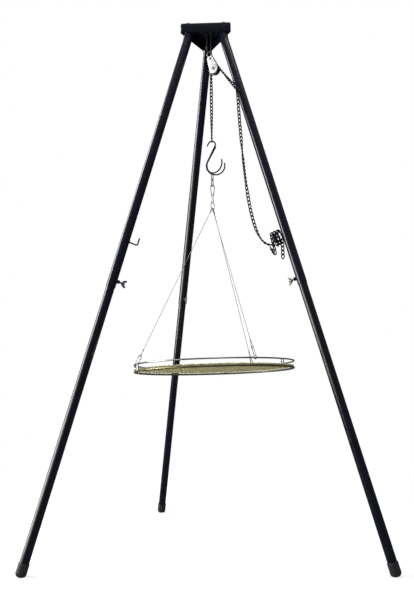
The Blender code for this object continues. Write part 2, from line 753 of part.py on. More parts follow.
def wire_ring(centre, radius):
    path = arc(centre, Vector((radius, 0, 0)), Z * radius, 0, 360, 16)[:-1]
    return rod("wire_ring", [path], 0.0015, ZINC, 1, True)


def grate_matrix():
    return Matrix.Translation(HANG + Z * GRATE_Z) @ Matrix.Rotation(GRATE_TILT[0], 4, "X") \
        @ Matrix.Rotation(GRATE_TILT[1], 4, "Y")


def torus(name, radius, rod_r, height, look, steps, sides):
    path = [Vector((radius * cos(a), radius * sin(a), height))
            for a in (2 * pi * k / steps for k in range(steps))]
    return rod(name, [path], rod_r, look, (sides - 4) // 2, True)


def grate_mesh():
    """Two layers of bars, pressed into each other where they cross, inside the rim."""
    reach = RIM_R - 0.0018
    count = int(reach / BAR_PITCH)
    layers = []
    for layer in (0, 1):
        bm = bmesh.new()
        for k in range(-count, count + 1):
            y = k * BAR_PITCH
            half = sqrt(reach ** 2 - (abs(y) + BAR / 2) ** 2)
            made = bmesh.ops.create_cube(bm, size=1)["verts"]
            bmesh.ops.scale(bm, vec=(2 * half, BAR, BAR), verts=made)
            bmesh.ops.translate(bm, vec=(0, y, BAR / 2 + layer * (BAR - BAR_SINK)), verts=made)
            if layer:
                bmesh.ops.rotate(bm, cent=(0, 0, 0), matrix=Matrix.Rotation(pi / 2, 3, "Z"),
                                 verts=made)
        layers.append(from_bmesh(f"grate_mesh_{layer}", bm, MESH_STEEL))
    obj = combine(layers[0], layers[1], "UNION")
    obj.name = obj.data.name = "grate_mesh"
    return obj


def grate_rail():
    """The upper ring with three pairs of short posts that stand on the rim."""
    rail = as_mesh(torus("grate_rail", RAIL_R, RAIL_ROD, RAIL_RISE, CHROME, 40, 6))
    low = RIM_ROD + GAP
    for azimuth in WIRES.values():
        for side in (-1, 1):
            a = radians(azimuth + 25) + side * 0.007 / RAIL_R
            spot = Vector((RAIL_R * cos(a), RAIL_R * sin(a), (low + RAIL_RISE) / 2))
            post = cylinder("post", spot, Z, 0.0024, RAIL_RISE - low, CHROME, 8)
            combine(rail, post, "UNION")
    return smooth(rail, 50)


def hanging_wire(name, top, low, ring_way, rail_way):
    """A thin wire with a ferrule and an eye at each end."""
    way = (top - low).normalized()
    upper_eye, lower_eye, thick = 0.012, 0.020, 0.0010
    first = (ring_way - way * ring_way.dot(way)).normalized()
    paths = []
    for end, pull, size, wide, normal in ((top, -way, upper_eye, 0.008, first),
                                          (low, way, lower_eye, 0.011, rail_way)):
        across = way.cross(normal).normalized()
        centre = end + pull * (size / 2 - thick)
        paths.append(oval(centre, way, across, size, wide, 2 * thick, 10))
    eyes = as_mesh(rod(name, paths, thick, STEEL_WIRE, 0, True))
    a, b = top - way * (upper_eye - 0.0028), low + way * (lower_eye - 0.0028)
    ferrule = 0.013
    line = [a, a - way * ferrule, a - way * (ferrule + 0.001), b + way * (ferrule + 0.001),
            b + way * ferrule, b]
    wire = as_mesh(rod("wire", [line], thick, STEEL_WIRE, 1, radii=[2.1, 2.1, 1, 1, 2.1, 2.1]))
    return smooth(combine(eyes, wire, "UNION"), 50)


def grate(centre, ring_r):
    """The grate's ring, wires, spring hooks, rail, rim and mesh, in the working frame."""
    frame = grate_matrix()
    rim = torus("grate_rim", RIM_R, RIM_ROD, 0, CHROME, 48, 6)
    rim.data.transform(frame)
    mesh = grate_mesh()
    mesh.data.transform(Matrix.Translation((0, 0, MESH_LIFT)))
    mesh.data.transform(frame)
    rail = grate_rail()
    rail.data.transform(frame)
    pieces, gates = [wire_ring(centre, ring_r), rim, mesh, rail], []
    shift = {"left": -0.0055, "near": 0.0, "far": 0.0055}
    for side, azimuth in WIRES.items():
        a = radians(azimuth)
        tangent = frame.to_3x3() @ Vector((-sin(a), cos(a), 0))
        spot = frame @ Vector((RAIL_R * cos(a), RAIL_R * sin(a), RAIL_RISE))
        lean = asin(shift[side] / ring_r)
        ring_spot = centre + Vector((sin(lean), 0, -cos(lean))) * ring_r
        way = (ring_spot - spot).normalized()
        out = tangent.cross(way).normalized()
        bottom = spot - way * (RAIL_ROD + GAP + RIM_SNAP[3])
        hook, gate, pivot = snap_hook(f"rim_snap_{side}", bottom, way, out, RIM_SNAP, ZINC,
                                      f"rim_gate_{side}")
        low = bottom + way * (RIM_SNAP[0] - 3 * RIM_SNAP[3] - GAP - 0.0010)
        top = ring_spot + way * (0.0015 + GAP + 0.0010)
        ring_way = Vector((cos(lean), 0, sin(lean)))
        wire = hanging_wire(f"wire_{side}", top, low, ring_way, out)
        pieces += [hook, wire]
        # the gate's pin lies along its empty's +Y
        gates.append((side, gate, pivot, turn_to(way, out).to_euler()))
    return pieces, gates


def build():
    root = empty("swing_grill", (0, 0, 0))
    plate = head_plate()
    bolt_rod = u_bolt()
    nuts = [nut(f"u_bolt_nut_{side}", at(U_BOLT_U, k * U_BOLT_HALF, PLATE_TOP + GAP + 0.003), Z,
                0.012, 0.006, U_BOLT_R + GAP, PAINT) for side, k in (("near", -1), ("far", 1))]
    for piece in (plate, bolt_rod, *nuts):
        piece.parent = root
    made = legs(root)

    ring_axis = empty("ring_axis", U_ROD, (0, 0, 0), root)
    block_axis = empty("block_axis", RIVET, (0, 0, 0), root)
    sheave_axis = empty("sheave_axis", AXLE, (0, 0, 0), block_axis)
    hang_on(ring_axis, shackle_ring())
    hang_on(block_axis, cheek("cheek_near", -1), cheek("cheek_far", 1),
            headed_pin("cheek_rivet", RIVET, 0.0030, 0.0052, ZINC),
            headed_pin("sheave_pin", AXLE, 0.0040, 0.0062, ZINC))
    hang_on(sheave_axis, sheave())

    fall = fall_route()
    count = int(fall.length / PITCH) + 1
    frames = link_frames(fall, 0.0, count, N, 0, fall.length / (count - 1))
    frames[0] = (frames[0][0], Z, N)
    frames[-1] = (frames[-1][0], frames[-1][1], frames[-1][1].cross(N).normalized())
    hang_on(block_axis, chain("chain_fall", frames, (count - 1,)))

    top_spot = HANG + Z * (AXLE.z - LOOSE)
    swing_axis = empty("chain_swing_axis", HANG + Z * AXLE.z, (0, 0, 0), block_axis)
    top_across = hanging_in(N)
    hang_on(swing_axis, chain("chain_top_link", [(top_spot, -Z, top_across)]))
    end_z = HOOK_TOP - 2 * HOOK_ROD - GAP - WIRE / 2 + LINK_HALF
    high, low = AXLE.z - 2 * LOOSE, end_z + LOOSE
    count = round((high - low) / PITCH) + 1
    run = Route([HANG + Z * high, HANG + Z * low])
    # the run turns by 70 degrees on its way down, as a loose twisted chain does
    frames = link_frames(run, 0.0, count, hanging_in(top_across), 70 / (count - 1),
                         (high - low) / (count - 1))
    hang_on(swing_axis, chain("chain_hanging", frames))
    lift_axis = empty("chain_lift_axis", HANG + Z * end_z, (0, 0, 0), swing_axis)
    hang_on(lift_axis, chain("chain_end_link", [(HANG + Z * end_z, -Z, Vector((0, 1, 0)))], (0,)))

    hook_axis = empty("hook_axis", HANG + Z * (HOOK_TOP - HOOK_ROD), (0, 0, 0), lift_axis)
    hang_on(hook_axis, s_hook())
    upper, lower, hook, gate, pivot, link, centre, ring_r = hanger()
    hanger_axis = empty("hanger_axis", HANG + Z * BOW_Z, (0, 0, 0), hook_axis)
    hang_on(hanger_axis, upper, lower, hook, link)
    hang_on(empty("top_gate_axis", pivot, (0, 0, 0), hanger_axis), gate)
    grate_axis = empty("grate_axis", centre + Z * ring_r, (0, 0, 0), hanger_axis)
    pieces, gates = grate(centre, ring_r)
    hang_on(grate_axis, *pieces)
    for side, gate, pivot, turn in gates:
        hang_on(empty(f"gate_{side}_axis", pivot, turn, grate_axis), gate)

    leg_axis = bpy.data.objects["leg_right_axis"]
    hang_on(leg_axis, chain_eye_at_right(leg_axis))
    slack = slack_route()
    frames = link_frames(slack, 0.0, 43, U, 0, slack.length / 42)
    frames[0] = (frames[0][0], -Z, U)
    frames[-1] = upright(frames[-1])
    hang_on(leg_axis, chain("chain_slack", frames, (0,)))
    hank = hank_route(frames[-1][0] - Z * (LOOSE + GAP))
    close = PITCH - 0.0012  # tight bends bring the links nearer together
    count = int((hank.length - 0.034) / close)
    frames = link_frames(hank, 0.0, count, hanging_in(frames[-1][2]), 3, close)
    frames[0], frames[-1] = upright(frames[0]), upright(frames[-1])
    hang_on(leg_axis, chain("chain_hank", frames, (), True))
    start = frames[-1][0] - Z * (LOOSE + GAP)
    tail = Route([start, start - Z * 0.1])
    frames = link_frames(tail, 0.0, 5, hanging_in(frames[-1][2]), 0)
    hang_on(leg_axis, chain("chain_tail", frames))
    return root


def chain_eye_at_right(leg_axis):
    piece = chain_eye("chain_eye")
    bpy.context.view_layer.update()
    piece.data.transform(leg_axis.matrix_world)
    return piece


def stand_on_origin(root):
    """Moves the model so that the middle of its footprint is the origin."""
    bpy.context.view_layer.update()
    graph = bpy.context.evaluated_depsgraph_get()
    low, high = Vector((1e9,) * 3), Vector((-1e9,) * 3)
    for obj in PARTS.objects:
        if obj.type == "EMPTY":
            continue
        solid = obj.evaluated_get(graph)
        mesh = solid.to_mesh()
        for vertex in mesh.vertices:
            spot = obj.matrix_world @ vertex.co
            for k in range(3):
                low[k], high[k] = min(low[k], spot[k]), max(high[k], spot[k])
        solid.to_mesh_clear()
    root.location = (-(low.x + high.x) / 2, -(low.y + high.y) / 2, -low.z)
    bpy.context.view_layer.update()
    print("footprint and height:", [round(v, 4) for v in high - low],
          "moved by", [round(v, 5) for v in root.location])


ROOT = build()
stand_on_origin(ROOT)
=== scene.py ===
"""Dresses the packed frame of a tripod swing grill: smooth tubes, real chain links, a crimped
wire mesh, laid wire rope and worn metal finishes, with a studio stage round it.

Metres, +Z up, in the frame of the packed model. The pulley, the taut chain and the right leg
share one upright plane: U runs in it towards the right leg, N is square to it."""

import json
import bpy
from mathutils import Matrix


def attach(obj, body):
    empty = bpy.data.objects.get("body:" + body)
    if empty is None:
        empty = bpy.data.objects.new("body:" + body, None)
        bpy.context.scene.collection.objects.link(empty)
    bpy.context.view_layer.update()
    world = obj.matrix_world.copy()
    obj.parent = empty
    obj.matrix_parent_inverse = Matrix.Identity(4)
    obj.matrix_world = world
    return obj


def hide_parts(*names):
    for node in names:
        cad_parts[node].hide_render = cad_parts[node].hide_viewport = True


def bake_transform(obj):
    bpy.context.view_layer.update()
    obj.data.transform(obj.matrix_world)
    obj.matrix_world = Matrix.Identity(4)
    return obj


bl_info = {
    "name": "Tripod swing grill",
    "version": (1, 0, 0),
    "blender": (4, 5, 0),
    "location": "3D View > Sidebar > Swing grill",
    "description": "Tubes, chain, hooks, hanging wires and mesh grate of a tripod swing grill",
    "category": "Object",
}

from collections import namedtuple
from math import acos, asin, asinh, atan, atan2, cos, cosh, degrees, pi, radians, sin, sinh, sqrt
from math import tan

import bmesh
import bpy
from bpy.props import FloatProperty, FloatVectorProperty, IntProperty, PointerProperty
from mathutils import Matrix, Vector

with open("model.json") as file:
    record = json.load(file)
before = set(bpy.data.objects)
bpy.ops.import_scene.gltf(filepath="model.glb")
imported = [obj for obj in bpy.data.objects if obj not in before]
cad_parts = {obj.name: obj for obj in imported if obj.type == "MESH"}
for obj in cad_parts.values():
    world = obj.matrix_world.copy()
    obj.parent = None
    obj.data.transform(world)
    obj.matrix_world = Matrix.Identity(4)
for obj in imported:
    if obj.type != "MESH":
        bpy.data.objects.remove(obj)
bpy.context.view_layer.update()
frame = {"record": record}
JOINTS = {joint["name"]: joint for joint in frame["record"]["behaviour"]["joints"]}

# Lengths in metres. Directions of legs, wires and links seen from above are in degrees,
# other angles in radians.
GAP, MERGE = 0.0003, 1e-6
SIDE, CORNER_CUT, SHEET, PLATE_TOP, FLANGE = 0.209, 0.0095, 0.002, 2.005, 0.038
SPLAY, BEND_R, KNEE_Z = atan(0.3045), 0.16, 1.950
UPPER_END_Z, LOWER_TOP_Z, CLAMP_Z = 0.9345, 1.033, 0.960
UPPER_R, LOWER_R, UPPER_BORE, LOWER_BORE = 0.017, 0.0155, 0.0161, 0.0141
PLUG_REACH, PLUG_WALL = 0.012, 0.0178
LEG_HOOK_Z, CHAIN_EYE_Z, EYE_ROD, WELD_SINK = 1.1065, 1.700, 0.0025, 0.0004
LEG_TURNS = {"left": 210, "right": 330, "back": 116}
Z = Vector((0, 0, 1))
U = Vector((cos(radians(-30)), sin(radians(-30)), 0))
N = Vector((sin(radians(30)), cos(radians(30)), 0))
U_BOLT_R, U_BOLT_HALF, U_BOLT_U, U_BOLT_Z = 0.0035, 0.016, 0.0125, 1.904
BLOCK_TILT = radians(18.9)
RIVET_DROP, AXLE_DROP, CHAIN_R = 0.0333, 0.0803, 0.0175
SHEAVE_R, SHEAVE_HALF, CHEEK_IN, CHEEK = 0.021, 0.0097, 0.010, 0.002
HOOK_TOP, HOOK_ROD, HOOK_EYE_R, BOW_Z = 1.537, 0.00275, 0.01345, 1.39975
CHAIN_PITCH, SLACK_LINKS = 0.0145, 44
GRATE_Z, GRATE_TILT = 0.639, (radians(-2.2), radians(-1.1))
RAIL_RISE = 0.025
RING_TURN, SMALL_LINK_TURN = 28, -40
WIRES = {"left": 180, "near": -60, "far": 60}
# spring hooks: length, width at the wide end, width at the narrow end, radius of the rod
TOP_SNAP = (0.046, 0.0195, 0.0130, 0.0020)
RIM_SNAP = (0.052, 0.0142, 0.0138, 0.0017)


def joint_spot(name):
    return Vector(JOINTS[name]["pos_m"])


CORNER_R = SIDE / sqrt(3) - 2 * (UPPER_R + SHEET + 2 * GAP)
FIRST_CORNER = Vector((CORNER_R * cos(radians(210)), CORNER_R * sin(radians(210)), 0))
MIDDLE = joint_spot("leg_left_swivel") - FIRST_CORNER
MIDDLE.z = 0


def at(u, n, z):
    """A point at distances along U and N from the tripod's middle, and at a height."""
    return MIDDLE + U * u + N * n + Z * z


LEG_FRAMES = {}
for leg_side, leg_turn in LEG_TURNS.items():
    foot_of_hinge = joint_spot(f"leg_{leg_side}_swivel")
    foot_of_hinge.z = 0
    LEG_FRAMES[leg_side] = (Matrix.Translation(foot_of_hinge)
                            @ Matrix.Rotation(radians(leg_turn), 4, "Z"))
LEG_DOWN = Vector((sin(SPLAY), 0, -cos(SPLAY)))
LEG_IN = Vector((-cos(SPLAY), 0, -sin(SPLAY)))
DOWN_BLOCK = U * sin(BLOCK_TILT) - Z * cos(BLOCK_TILT)
SIDE_BLOCK = U * cos(BLOCK_TILT) + Z * sin(BLOCK_TILT)
U_ROD = at(U_BOLT_U, 0, U_BOLT_Z)
RIVET = U_ROD + DOWN_BLOCK * RIVET_DROP
AXLE = U_ROD + DOWN_BLOCK * AXLE_DROP
HANG = Vector((AXLE.x, AXLE.y, 0)) - U * CHAIN_R


class TubeSizes(bpy.types.PropertyGroup):
    """Sizes of the telescopic legs."""
    upper: FloatProperty(name="Upper radius", description="Outer radius of the upper tubes",
                         default=UPPER_R, unit="LENGTH")
    lower: FloatProperty(name="Lower radius", description="Outer radius of the lower tubes",
                         default=LOWER_R, unit="LENGTH")
    sides: IntProperty(name="Sides", description="Faces round a tube", default=48)


class ChainSizes(bpy.types.PropertyGroup):
    """Sizes of the twisted links."""
    pitch: FloatProperty(name="Pitch", description="Distance from one link to the next",
                         default=CHAIN_PITCH, unit="LENGTH")
    wire: FloatProperty(name="Wire", description="Thickness of a link's wire",
                        default=0.0042, unit="LENGTH")
    width: FloatProperty(name="Width", description="Outer width of a link",
                         default=0.0140, unit="LENGTH")
    twist: FloatProperty(name="Twist", description="Turn of each end against the middle",
                         default=radians(42), subtype="ANGLE")


class GrateSizes(bpy.types.PropertyGroup):
    """Sizes of the round grate."""
    rim: FloatProperty(name="Rim radius", description="Radius of the rim's middle line",
                       default=0.296, unit="LENGTH")
    rim_rod: FloatProperty(name="Rim rod", description="Radius of the rim's rod",
                           default=0.004, unit="LENGTH")
    rail: FloatProperty(name="Rail radius", description="Radius of the rail's middle line",
                        default=0.2972, unit="LENGTH")
    rail_rod: FloatProperty(name="Rail rod", description="Radius of the rail's rod",
                            default=0.00275, unit="LENGTH")
    mesh_pitch: FloatProperty(name="Mesh pitch", description="Distance from wire to wire",
                              default=0.0145, unit="LENGTH")
    mesh_wire: FloatProperty(name="Mesh wire", description="Radius of the mesh wires",
                             default=0.00135, unit="LENGTH")


class FinishColours(bpy.types.PropertyGroup):
    """Colours of the finishes."""
    paint: FloatVectorProperty(name="Paint", description="Black paint on tubes and plate",
                               subtype="COLOR", default=(0.0020, 0.0030, 0.0070))
    chain: FloatVectorProperty(name="Chain", description="Blackened chain steel",
                               subtype="COLOR", default=(0.0050, 0.0052, 0.0060))
    zinc: FloatVectorProperty(name="Zinc", description="Bright zinc plate",
                              subtype="COLOR", default=(0.25, 0.26, 0.27))
    rope: FloatVectorProperty(name="Rope", description="Galvanised wire rope",
                              subtype="COLOR", default=(0.20, 0.20, 0.20))
    rim: FloatVectorProperty(name="Rim", description="Plated rim",
                             subtype="COLOR", default=(0.17, 0.17, 0.10))
    mesh: FloatVectorProperty(name="Mesh", description="Plated mesh wires",
                              subtype="COLOR", default=(0.62, 0.58, 0.30))
    plastic: FloatVectorProperty(name="Plastic", description="Foot plugs",
                                 subtype="COLOR", default=(0.012, 0.012, 0.014))


class StageSettings(bpy.types.PropertyGroup):
    """Light and camera."""
    key: FloatProperty(name="Key light", description="Power of the tall left light",
                       default=130.0, unit="POWER")
    fill: FloatProperty(name="Fill light", description="Power of the light overhead",
                        default=60.0, unit="POWER")
    focal: FloatProperty(name="Focal length", description="In pixels of a frame 600 high",
                         default=625.867)


def sizes(name):
    return getattr(bpy.context.scene, name)


# meshes

def keep(name, mesh):
    obj = bpy.data.objects.new(name, mesh)
    bpy.context.scene.collection.objects.link(obj)
    return obj


def applied(obj):
    """The object's evaluated shape as a plain mesh object of the same name, at the origin."""
    graph = bpy.context.evaluated_depsgraph_get()
    mesh = bpy.data.meshes.new_from_object(obj.evaluated_get(graph))
    name, matrix = obj.name, obj.matrix_world.copy()
    bpy.data.objects.remove(obj, do_unlink=True)
    mesh.transform(matrix)
    mesh.name = name
    mesh.materials.clear()
    return keep(name, mesh)


def from_bmesh(name, bm, matrix=None):
    if matrix is not None:
        bm.transform(matrix)
    mesh = bpy.data.meshes.new(name)
    bm.to_mesh(mesh)
    bm.free()
    return keep(name, mesh)


def smooth(obj):
    obj.data.shade_smooth()
    obj.data.set_sharp_from_angle(angle=radians(40))
    return obj


def turn_to(axis, x_axis=None):
    """A rotation that takes +Z to the axis and +X as near as it goes to x_axis."""
    z = Vector(axis).normalized()
    guide = Vector(x_axis) if x_axis else z.orthogonal()
    x = (guide - z * guide.dot(z)).normalized()
    return Matrix((x, z.cross(x), z)).transposed().to_4x4()


def rounded(obj, width, segments=2, angle=35):
    """Bevels the object's edges and leaves a plain mesh."""
    soft = obj.modifiers.new("soft edges", "BEVEL")
    soft.width, soft.segments = width, segments
    soft.limit_method, soft.angle_limit = "ANGLE", radians(angle)
    soft.harden_normals = False
    return smooth(applied(obj))


def combine(obj, other, operation="UNION"):
    change = obj.modifiers.new(operation.lower(), "BOOLEAN")
    change.operation, change.object, change.solver = operation, other, "EXACT"
    made = applied(obj)
    bpy.data.objects.remove(other, do_unlink=True)
    return made


def joined(name, objects):
    """Several mesh objects as one."""
    bm = bmesh.new()
    for obj in objects:
        bm.from_mesh(obj.data)
        bpy.data.objects.remove(obj, do_unlink=True)
    return from_bmesh(name, bm)


def merge(bm):
    bmesh.ops.remove_doubles(bm, verts=bm.verts, dist=MERGE)


def face_out(bm):
    bmesh.ops.recalc_face_normals(bm, faces=bm.faces)


def reworked(obj, change):
    """Runs a change over the object's mesh."""
    bm = bmesh.new()
    bm.from_mesh(obj.data)
    change(bm)
    bm.to_mesh(obj.data)
    bm.free()
    return obj


def placed(obj, matrix):
    obj.data.transform(matrix)
    return obj


def frames_along(path, closed=False):
    """Points of a path, each with two directions square to it that don't twist."""
    count = len(path)
    ways = []
    for k in range(count):
        if closed:
            way = path[(k + 1) % count] - path[k - 1]
        else:
            way = path[min(k + 1, count - 1)] - path[max(k - 1, 0)]
        ways.append(way.normalized())
    x = ways[0].orthogonal().normalized()
    found = []
    for spot, way in zip(path, ways):
        x = (x - way * x.dot(way)).normalized()
        found.append((spot, x, way.cross(x)))
    return found


def skin(name, rings, sides, closed=False):
    """Faces between rings, each a (centre, x, y, radius); open ends get a cap."""
    bm = bmesh.new()
    loops = []
    for centre, x, y, radius in rings:
        loops.append([bm.verts.new(centre + x * (radius * cos(2 * pi * k / sides))
                                   + y * (radius * sin(2 * pi * k / sides)))
                      for k in range(sides)])
    pairs = list(zip(loops, loops[1:] + ([loops[0]] if closed else [])))
    for first, second in pairs:
        for k in range(sides):
            m = (k + 1) % sides
            bm.faces.new((first[k], first[m], second[m], second[k]))
    if not closed:
        bm.faces.new(list(reversed(loops[0])))
        bm.faces.new(loops[-1])
    face_out(bm)
    return smooth(from_bmesh(name, bm))


def rod(name, path, radius, sides=16, closed=False, round_ends=False):
    """A round bar along a path; round_ends gives it domed tips."""
    found = [(spot, x, y, radius) for spot, x, y in frames_along(path, closed)]
    if round_ends and not closed:
        for end in (0, -1):
            spot, x, y, _ = found[end]
            inner = found[1 if end == 0 else -2][0]
            way = (spot - inner).normalized()
            tip = [(spot + way * (radius * sin(a)), x, y, max(radius * cos(a), radius * 0.04))
                   for a in (radians(22), radians(45), radians(67), radians(88))]
            found = [*reversed(tip), *found] if end == 0 else [*found, *tip]
    return skin(name, found, sides, closed)


def turned(name, profile, matrix, steps=48, closed_profile=False):
    """A profile of (radius, height) points turned round +Z."""
    bm = bmesh.new()
    spots = [bm.verts.new((r, 0, h)) for r, h in profile]
    ends = zip(spots, spots[1:] + ([spots[0]] if closed_profile else []))
    edges = [bm.edges.new(pair) for pair in ends]
    bmesh.ops.spin(bm, geom=spots + edges, cent=(0, 0, 0), axis=(0, 0, 1), angle=2 * pi,
                   steps=steps, use_merge=True)
    merge(bm)
    face_out(bm)
    return smooth(from_bmesh(name, bm, matrix))


def arc(centre, first, second, start, end, steps):
    turns = [radians(start + (end - start) * k / steps) for k in range(steps + 1)]
    return [centre + first * cos(a) + second * sin(a) for a in turns]


def circle(radius, count, centre=(0, 0)):
    return [(centre[0] + radius * cos(2 * pi * k / count),
             centre[1] + radius * sin(2 * pi * k / count)) for k in range(count)]


def oval(centre, along, across, long, wide, wire, count=12):
    """A link's middle line: straight sides and round ends, given by its outer sizes."""
    radius, reach = (wide - wire) / 2, (long - wide) / 2
    path = []
    for end in (1, -1):
        for k in range(count + 1):
            a = pi * k / count - pi / 2
            path.append(centre + along * (end * (reach + radius * cos(a)))
                        + across * (end * radius * sin(a)))
    return path


def sheet(name, outlines, thickness, matrix, edge=0.0005):
    """A flat plate cut to closed outlines, with softened edges."""
    curve = bpy.data.curves.new(name, "CURVE")
    curve.dimensions, curve.fill_mode = "2D", "BOTH"
    curve.extrude = thickness / 2
    for outline in outlines:
        spline = curve.splines.new("POLY")
        spline.points.add(len(outline) - 1)
        for point, (x, y) in zip(spline.points, outline):
            point.co = (x, y, 0, 1)
        spline.use_cyclic_u = True
    obj = reworked(applied(keep(name, curve)), merge)
    return placed(rounded(obj, edge, 2), matrix)


def cylinder(name, centre, axis, radius, length, sides, x_axis=None):
    bm = bmesh.new()
    bmesh.ops.create_cone(bm, cap_ends=True, segments=sides, radius1=radius, radius2=radius,
                          depth=length)
    return from_bmesh(name, bm, Matrix.Translation(centre) @ turn_to(axis, x_axis))


def through(points, steps):
    """A smooth line through the points."""
    ends = [points[0] * 2 - points[1], *points, points[-1] * 2 - points[-2]]
    line = []
    for a, b, c, d in zip(ends, ends[1:], ends[2:], ends[3:]):
        for k in range(steps):
            t = k / steps
            line.append(0.5 * ((2 * b) + (c - a) * t + (2 * a - 5 * b + 4 * c - d) * t * t
                               + (3 * b - a - 3 * c + d) * t ** 3))
    return [*line, points[-1]]


class Route:
    """A line that can be read at any distance along it."""

    def __init__(self, points):
        self.points = points
        self.marks = [0.0]
        for a, b in zip(points, points[1:]):
            self.marks.append(self.marks[-1] + (b - a).length)
        self.length = self.marks[-1]

    def spot(self, distance):
        if distance <= 0:
            way = (self.points[1] - self.points[0]).normalized()
            return self.points[0] + way * distance
        for k, mark in enumerate(self.marks[1:]):
            if distance <= mark:
                share = (distance - self.marks[k]) / (mark - self.marks[k])
                return self.points[k].lerp(self.points[k + 1], share)
        way = (self.points[-1] - self.points[-2]).normalized()
        return self.points[-1] + way * (distance - self.length)


# node trees

class Tree:
    """Makes nodes in a tree and joins them by socket."""

    def __init__(self, tree):
        self.tree = tree

    def new(self, kind, sockets=None, **settings):
        """A node with its settings, then the links and values on its named or numbered inputs."""
        made = self.tree.nodes.new(kind)
        for name, value in settings.items():
            setattr(made, name, value)
        for key, value in (sockets or {}).items():
            self.put(made.inputs[key], value)
        return made

    def step(self, kind, sockets=None, **settings):
        """The first output of a new node."""
        return self.new(kind, sockets, **settings).outputs[0]

    def wire(self, source, target):
        self.tree.links.new(source, target)

    def put(self, target, value):
        """Links a socket to the target, or writes a plain value on it."""
        if isinstance(value, bpy.types.NodeSocket):
            self.wire(value, target)
        elif value is not None:
            target.default_value = value

    def maths(self, operation, *values, clamp=False):
        return self.step("ShaderNodeMath", dict(enumerate(values)), operation=operation,
                         use_clamp=clamp)

    def times(self, a, b, clamp=False):
        return self.maths("MULTIPLY", a, b, clamp=clamp)

    def over(self, a, b):
        return self.maths("DIVIDE", a, b)

    def plus(self, a, b):
        return self.maths("ADD", a, b)

    def minus(self, a, b):
        return self.maths("SUBTRACT", a, b)

    def vector(self, *values):
        return self.step("ShaderNodeCombineXYZ", dict(enumerate(values)))

    def parts(self, value):
        return self.new("ShaderNodeSeparateXYZ", {0: value}).outputs

    def mix(self, factor, a, b):
        made = self.new("ShaderNodeMix", {0: factor}, data_type="RGBA")
        ends = [socket for socket in made.inputs if socket.type == "RGBA"]
        self.put(ends[0], a)
        self.put(ends[1], b)
        return next(socket for socket in made.outputs if socket.type == "RGBA")

    def spread(self, value, low, high, to_low=0.0, to_high=1.0):
        return self.step("ShaderNodeMapRange",
                         dict(enumerate((value, low, high, to_low, to_high))))

    def noise(self, place, scale, detail=3.0, roughness=0.5):
        return self.step("ShaderNodeTexNoise", {"Vector": place, "Scale": scale,
                                                "Detail": detail, "Roughness": roughness})


def named_group(name, kind, inputs, outputs):
    """A node group with named sockets, each a (name, socket type, default)."""
    group = bpy.data.node_groups.new(name, kind)
    for title, socket, default in inputs:
        made = group.interface.new_socket(title, in_out="INPUT", socket_type=socket)
        if default is not None:
            made.default_value = default
    for title, socket in outputs:
        group.interface.new_socket(title, in_out="OUTPUT", socket_type=socket)
    tree = Tree(group)
    return group, tree, tree.new("NodeGroupInput").outputs, tree.new("NodeGroupOutput").inputs


# finishes

def wear_group():
    """Fine scratches and rubbed spots, as a mask and a height."""
    if "rubbed_wear" in bpy.data.node_groups:
        return bpy.data.node_groups["rubbed_wear"]
    group, tree, given, out = named_group(
        "rubbed_wear", "ShaderNodeTree",
        (("Place", "NodeSocketVector", None), ("Scale", "NodeSocketFloat", 60.0),
         ("Amount", "NodeSocketFloat", 0.3)),
        (("Mask", "NodeSocketFloat"), ("Height", "NodeSocketFloat")))
    patches = tree.noise(given["Place"], given["Scale"], 5.0, 0.62)
    fine = tree.noise(given["Place"], tree.times(given["Scale"], 9.0), 2.0)
    edge = tree.minus(0.78, tree.times(given["Amount"], 0.3))
    spots = tree.spread(patches, edge, tree.plus(edge, 0.10))
    speck = tree.spread(fine, 0.62, 0.74)
    tree.wire(tree.times(spots, tree.spread(fine, 0.35, 0.6), clamp=True), out["Mask"])
    tree.wire(tree.minus(tree.times(fine, 0.4), tree.times(speck, 0.3)), out["Height"])
    return group


def dust_group():
    """Dust that lies on what faces up, broken by noise."""
    if "lying_dust" in bpy.data.node_groups:
        return bpy.data.node_groups["lying_dust"]
    group, tree, given, out = named_group(
        "lying_dust", "ShaderNodeTree",
        (("Place", "NodeSocketVector", None), ("Amount", "NodeSocketFloat", 0.2)),
        (("Mask", "NodeSocketFloat"),))
    normal = tree.new("ShaderNodeNewGeometry").outputs["Normal"]
    up = tree.spread(tree.parts(normal)[2], 0.15, 1.0)
    cloud = tree.spread(tree.noise(given["Place"], 38.0, 4.0, 0.6), 0.35, 0.72)
    tree.wire(tree.times(tree.times(up, cloud), given["Amount"], clamp=True), out["Mask"])
    return group


def grouped(tree, group, **values):
    return tree.new("ShaderNodeGroup", values, node_tree=group).outputs


def new_material(name):
    """A material, its tree and its shader."""
    made = bpy.data.materials.new(name)
    made.use_nodes = True
    return made, Tree(made.node_tree), made.node_tree.nodes["Principled BSDF"]


